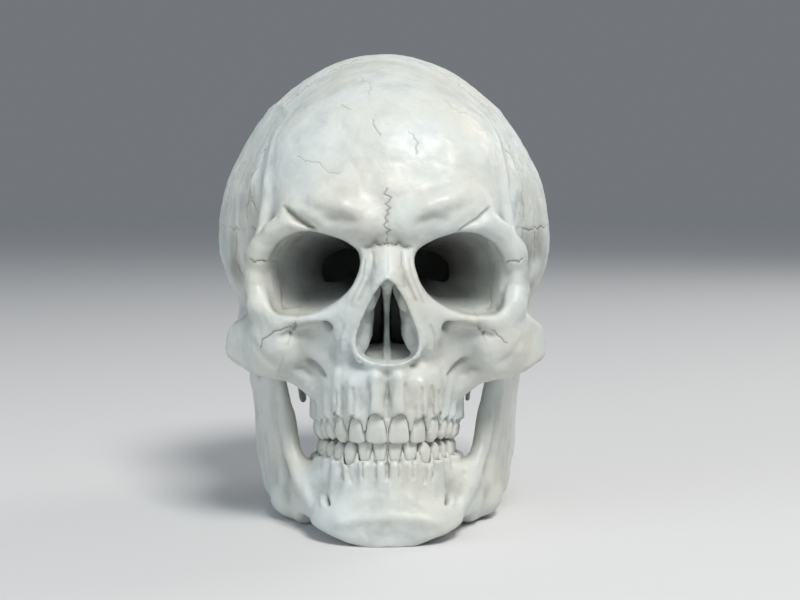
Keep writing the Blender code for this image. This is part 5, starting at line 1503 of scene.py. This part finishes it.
def build_stage():
    """A wide pale floor, a plain room of even light, and three soft lamps."""
    mesh = bpy.data.meshes.new("floor")
    corners = ((-1, -1), (1, -1), (1, 1), (-1, 1))
    mesh.from_pydata([(x * FLOOR_REACH, y * FLOOR_REACH, 0) for x, y in corners], [], [(0, 1, 2, 3)])
    floor = bpy.data.objects.new("floor", mesh)
    bpy.context.scene.collection.objects.link(floor)
    paint = bpy.data.materials.new("floor_paint")
    paint.use_nodes = True
    shader = paint.node_tree.nodes["Principled BSDF"]
    shader.inputs["Base Color"].default_value = FLOOR_COLOUR
    shader.inputs["Roughness"].default_value = 0.85
    mesh.materials.append(paint)
    world = bpy.data.worlds.new("room")
    world.use_nodes = True
    tree = world.node_tree
    room_light = tree.nodes["Background"]
    room_light.inputs[0].default_value = ROOM_COLOUR
    room_light.inputs[1].default_value = ROOM_STRENGTH
    seen = tree.nodes.new("ShaderNodeBackground")
    seen.inputs[0].default_value = BACKDROP_COLOUR
    path = tree.nodes.new("ShaderNodeLightPath")
    mix = tree.nodes.new("ShaderNodeMixShader")
    tree.links.new(path.outputs["Is Camera Ray"], mix.inputs[0])
    tree.links.new(room_light.outputs[0], mix.inputs[1])
    tree.links.new(seen.outputs[0], mix.inputs[2])
    tree.links.new(mix.outputs[0], tree.nodes["World Output"].inputs[0])
    bpy.context.scene.world = world
    bpy.context.scene.view_settings.view_transform = "Standard"
    for lamp in LAMPS:
        light(*lamp)


def suture_share(points):
    """How open the sutures are: plain on the vault and the temples, all but closed on the face."""
    x, y, z = points.T
    depth = y + MIDDLE
    temple = rising(depth, 22, 12) * rising(np.abs(x), 38, 8)
    vault = rising(z, 128, 8) * rising(depth, 6, 10)
    return np.maximum(CLOSED_SUTURE, np.maximum(temple, vault))


def finish_bone(name, points, faces, body, material, room, suture=None):
    """Carve a bone's surface, note where it is cracked and where shade is painted on it, and put it on its
    body.
    """
    thing = new_mesh(name + "_look", points, faces)
    mesh = thing.data
    for reach in REFINE_REACH:
        points = mesh_points(mesh) / MM
        near = marks_at(points, mesh_points(mesh, "normal"))[2] < reach
        if suture is not None and reach == REFINE_REACH[0]:
            near |= np.abs(sampled(suture[0], suture[1], CELL, points)) < SUTURE_REACH
        if near.any():
            refine(mesh, near)
    points, normals = mesh_points(mesh) / MM, mesh_points(mesh, "normal")
    sink, tone, near = marks_at(points, normals)
    if suture is not None:
        line = np.exp(-(sampled(suture[0], suture[1], CELL, points) / SUTURE_WIDTH) ** 2)
        line *= np.clip(0.7 + lattice(points, 8, 11), 0.15, 1) * suture_share(points)
        sink += SUTURE_DEPTH * line
        tone = np.maximum(tone, SUTURE_TONE * line)
    lift = relief(points) - sink
    # Dark cracks and sutures, and painted shade in creases, holes and the gaps by the teeth
    set_shares(thing, "crack", tone)
    # Painted shade in the hollows and over the temples
    set_shares(thing, "dirt", dirt(points, room))
    # Near-black painted shade deep in the eye sockets and the nose, on the cranium only
    set_shares(thing, "cavity", cavity(points) if body == "cranium" else np.zeros(len(points)))
    moved = (points + normals * lift[:, None] + (0, SHIFT, 0)) * MM
    moved[:, 2] = np.maximum(moved[:, 2], 0)
    mesh.vertices.foreach_set("co", moved.astype(F).ravel())
    mesh.update()
    mesh.shade_smooth()
    mesh.materials.append(material)
    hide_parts(name)
    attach(thing, body)


def build_bones():
    """Every bone of the cranium, and the lower jaw."""
    bone = bone_material()
    clay = cranium_clay()
    room = crowding(clay)
    for name, (points, faces, suture) in part_bones(clay).items():
        finish_bone(name, points, faces, "cranium", bone, room, suture)
    jaw = jaw_clay()
    whole = np.pad(mirrored(jaw.field), 1, constant_values=FAR)
    corner = np.array((-jaw.axes[0][-1], jaw.low[1], jaw.low[2])) - jaw.cell
    points, faces = main_body(*surface(whole, corner, jaw.cell))
    finish_bone("mandible", points, faces, "mandible", bone, crowding(jaw))


build_bones()
build_teeth()
place_camera()
build_stage()
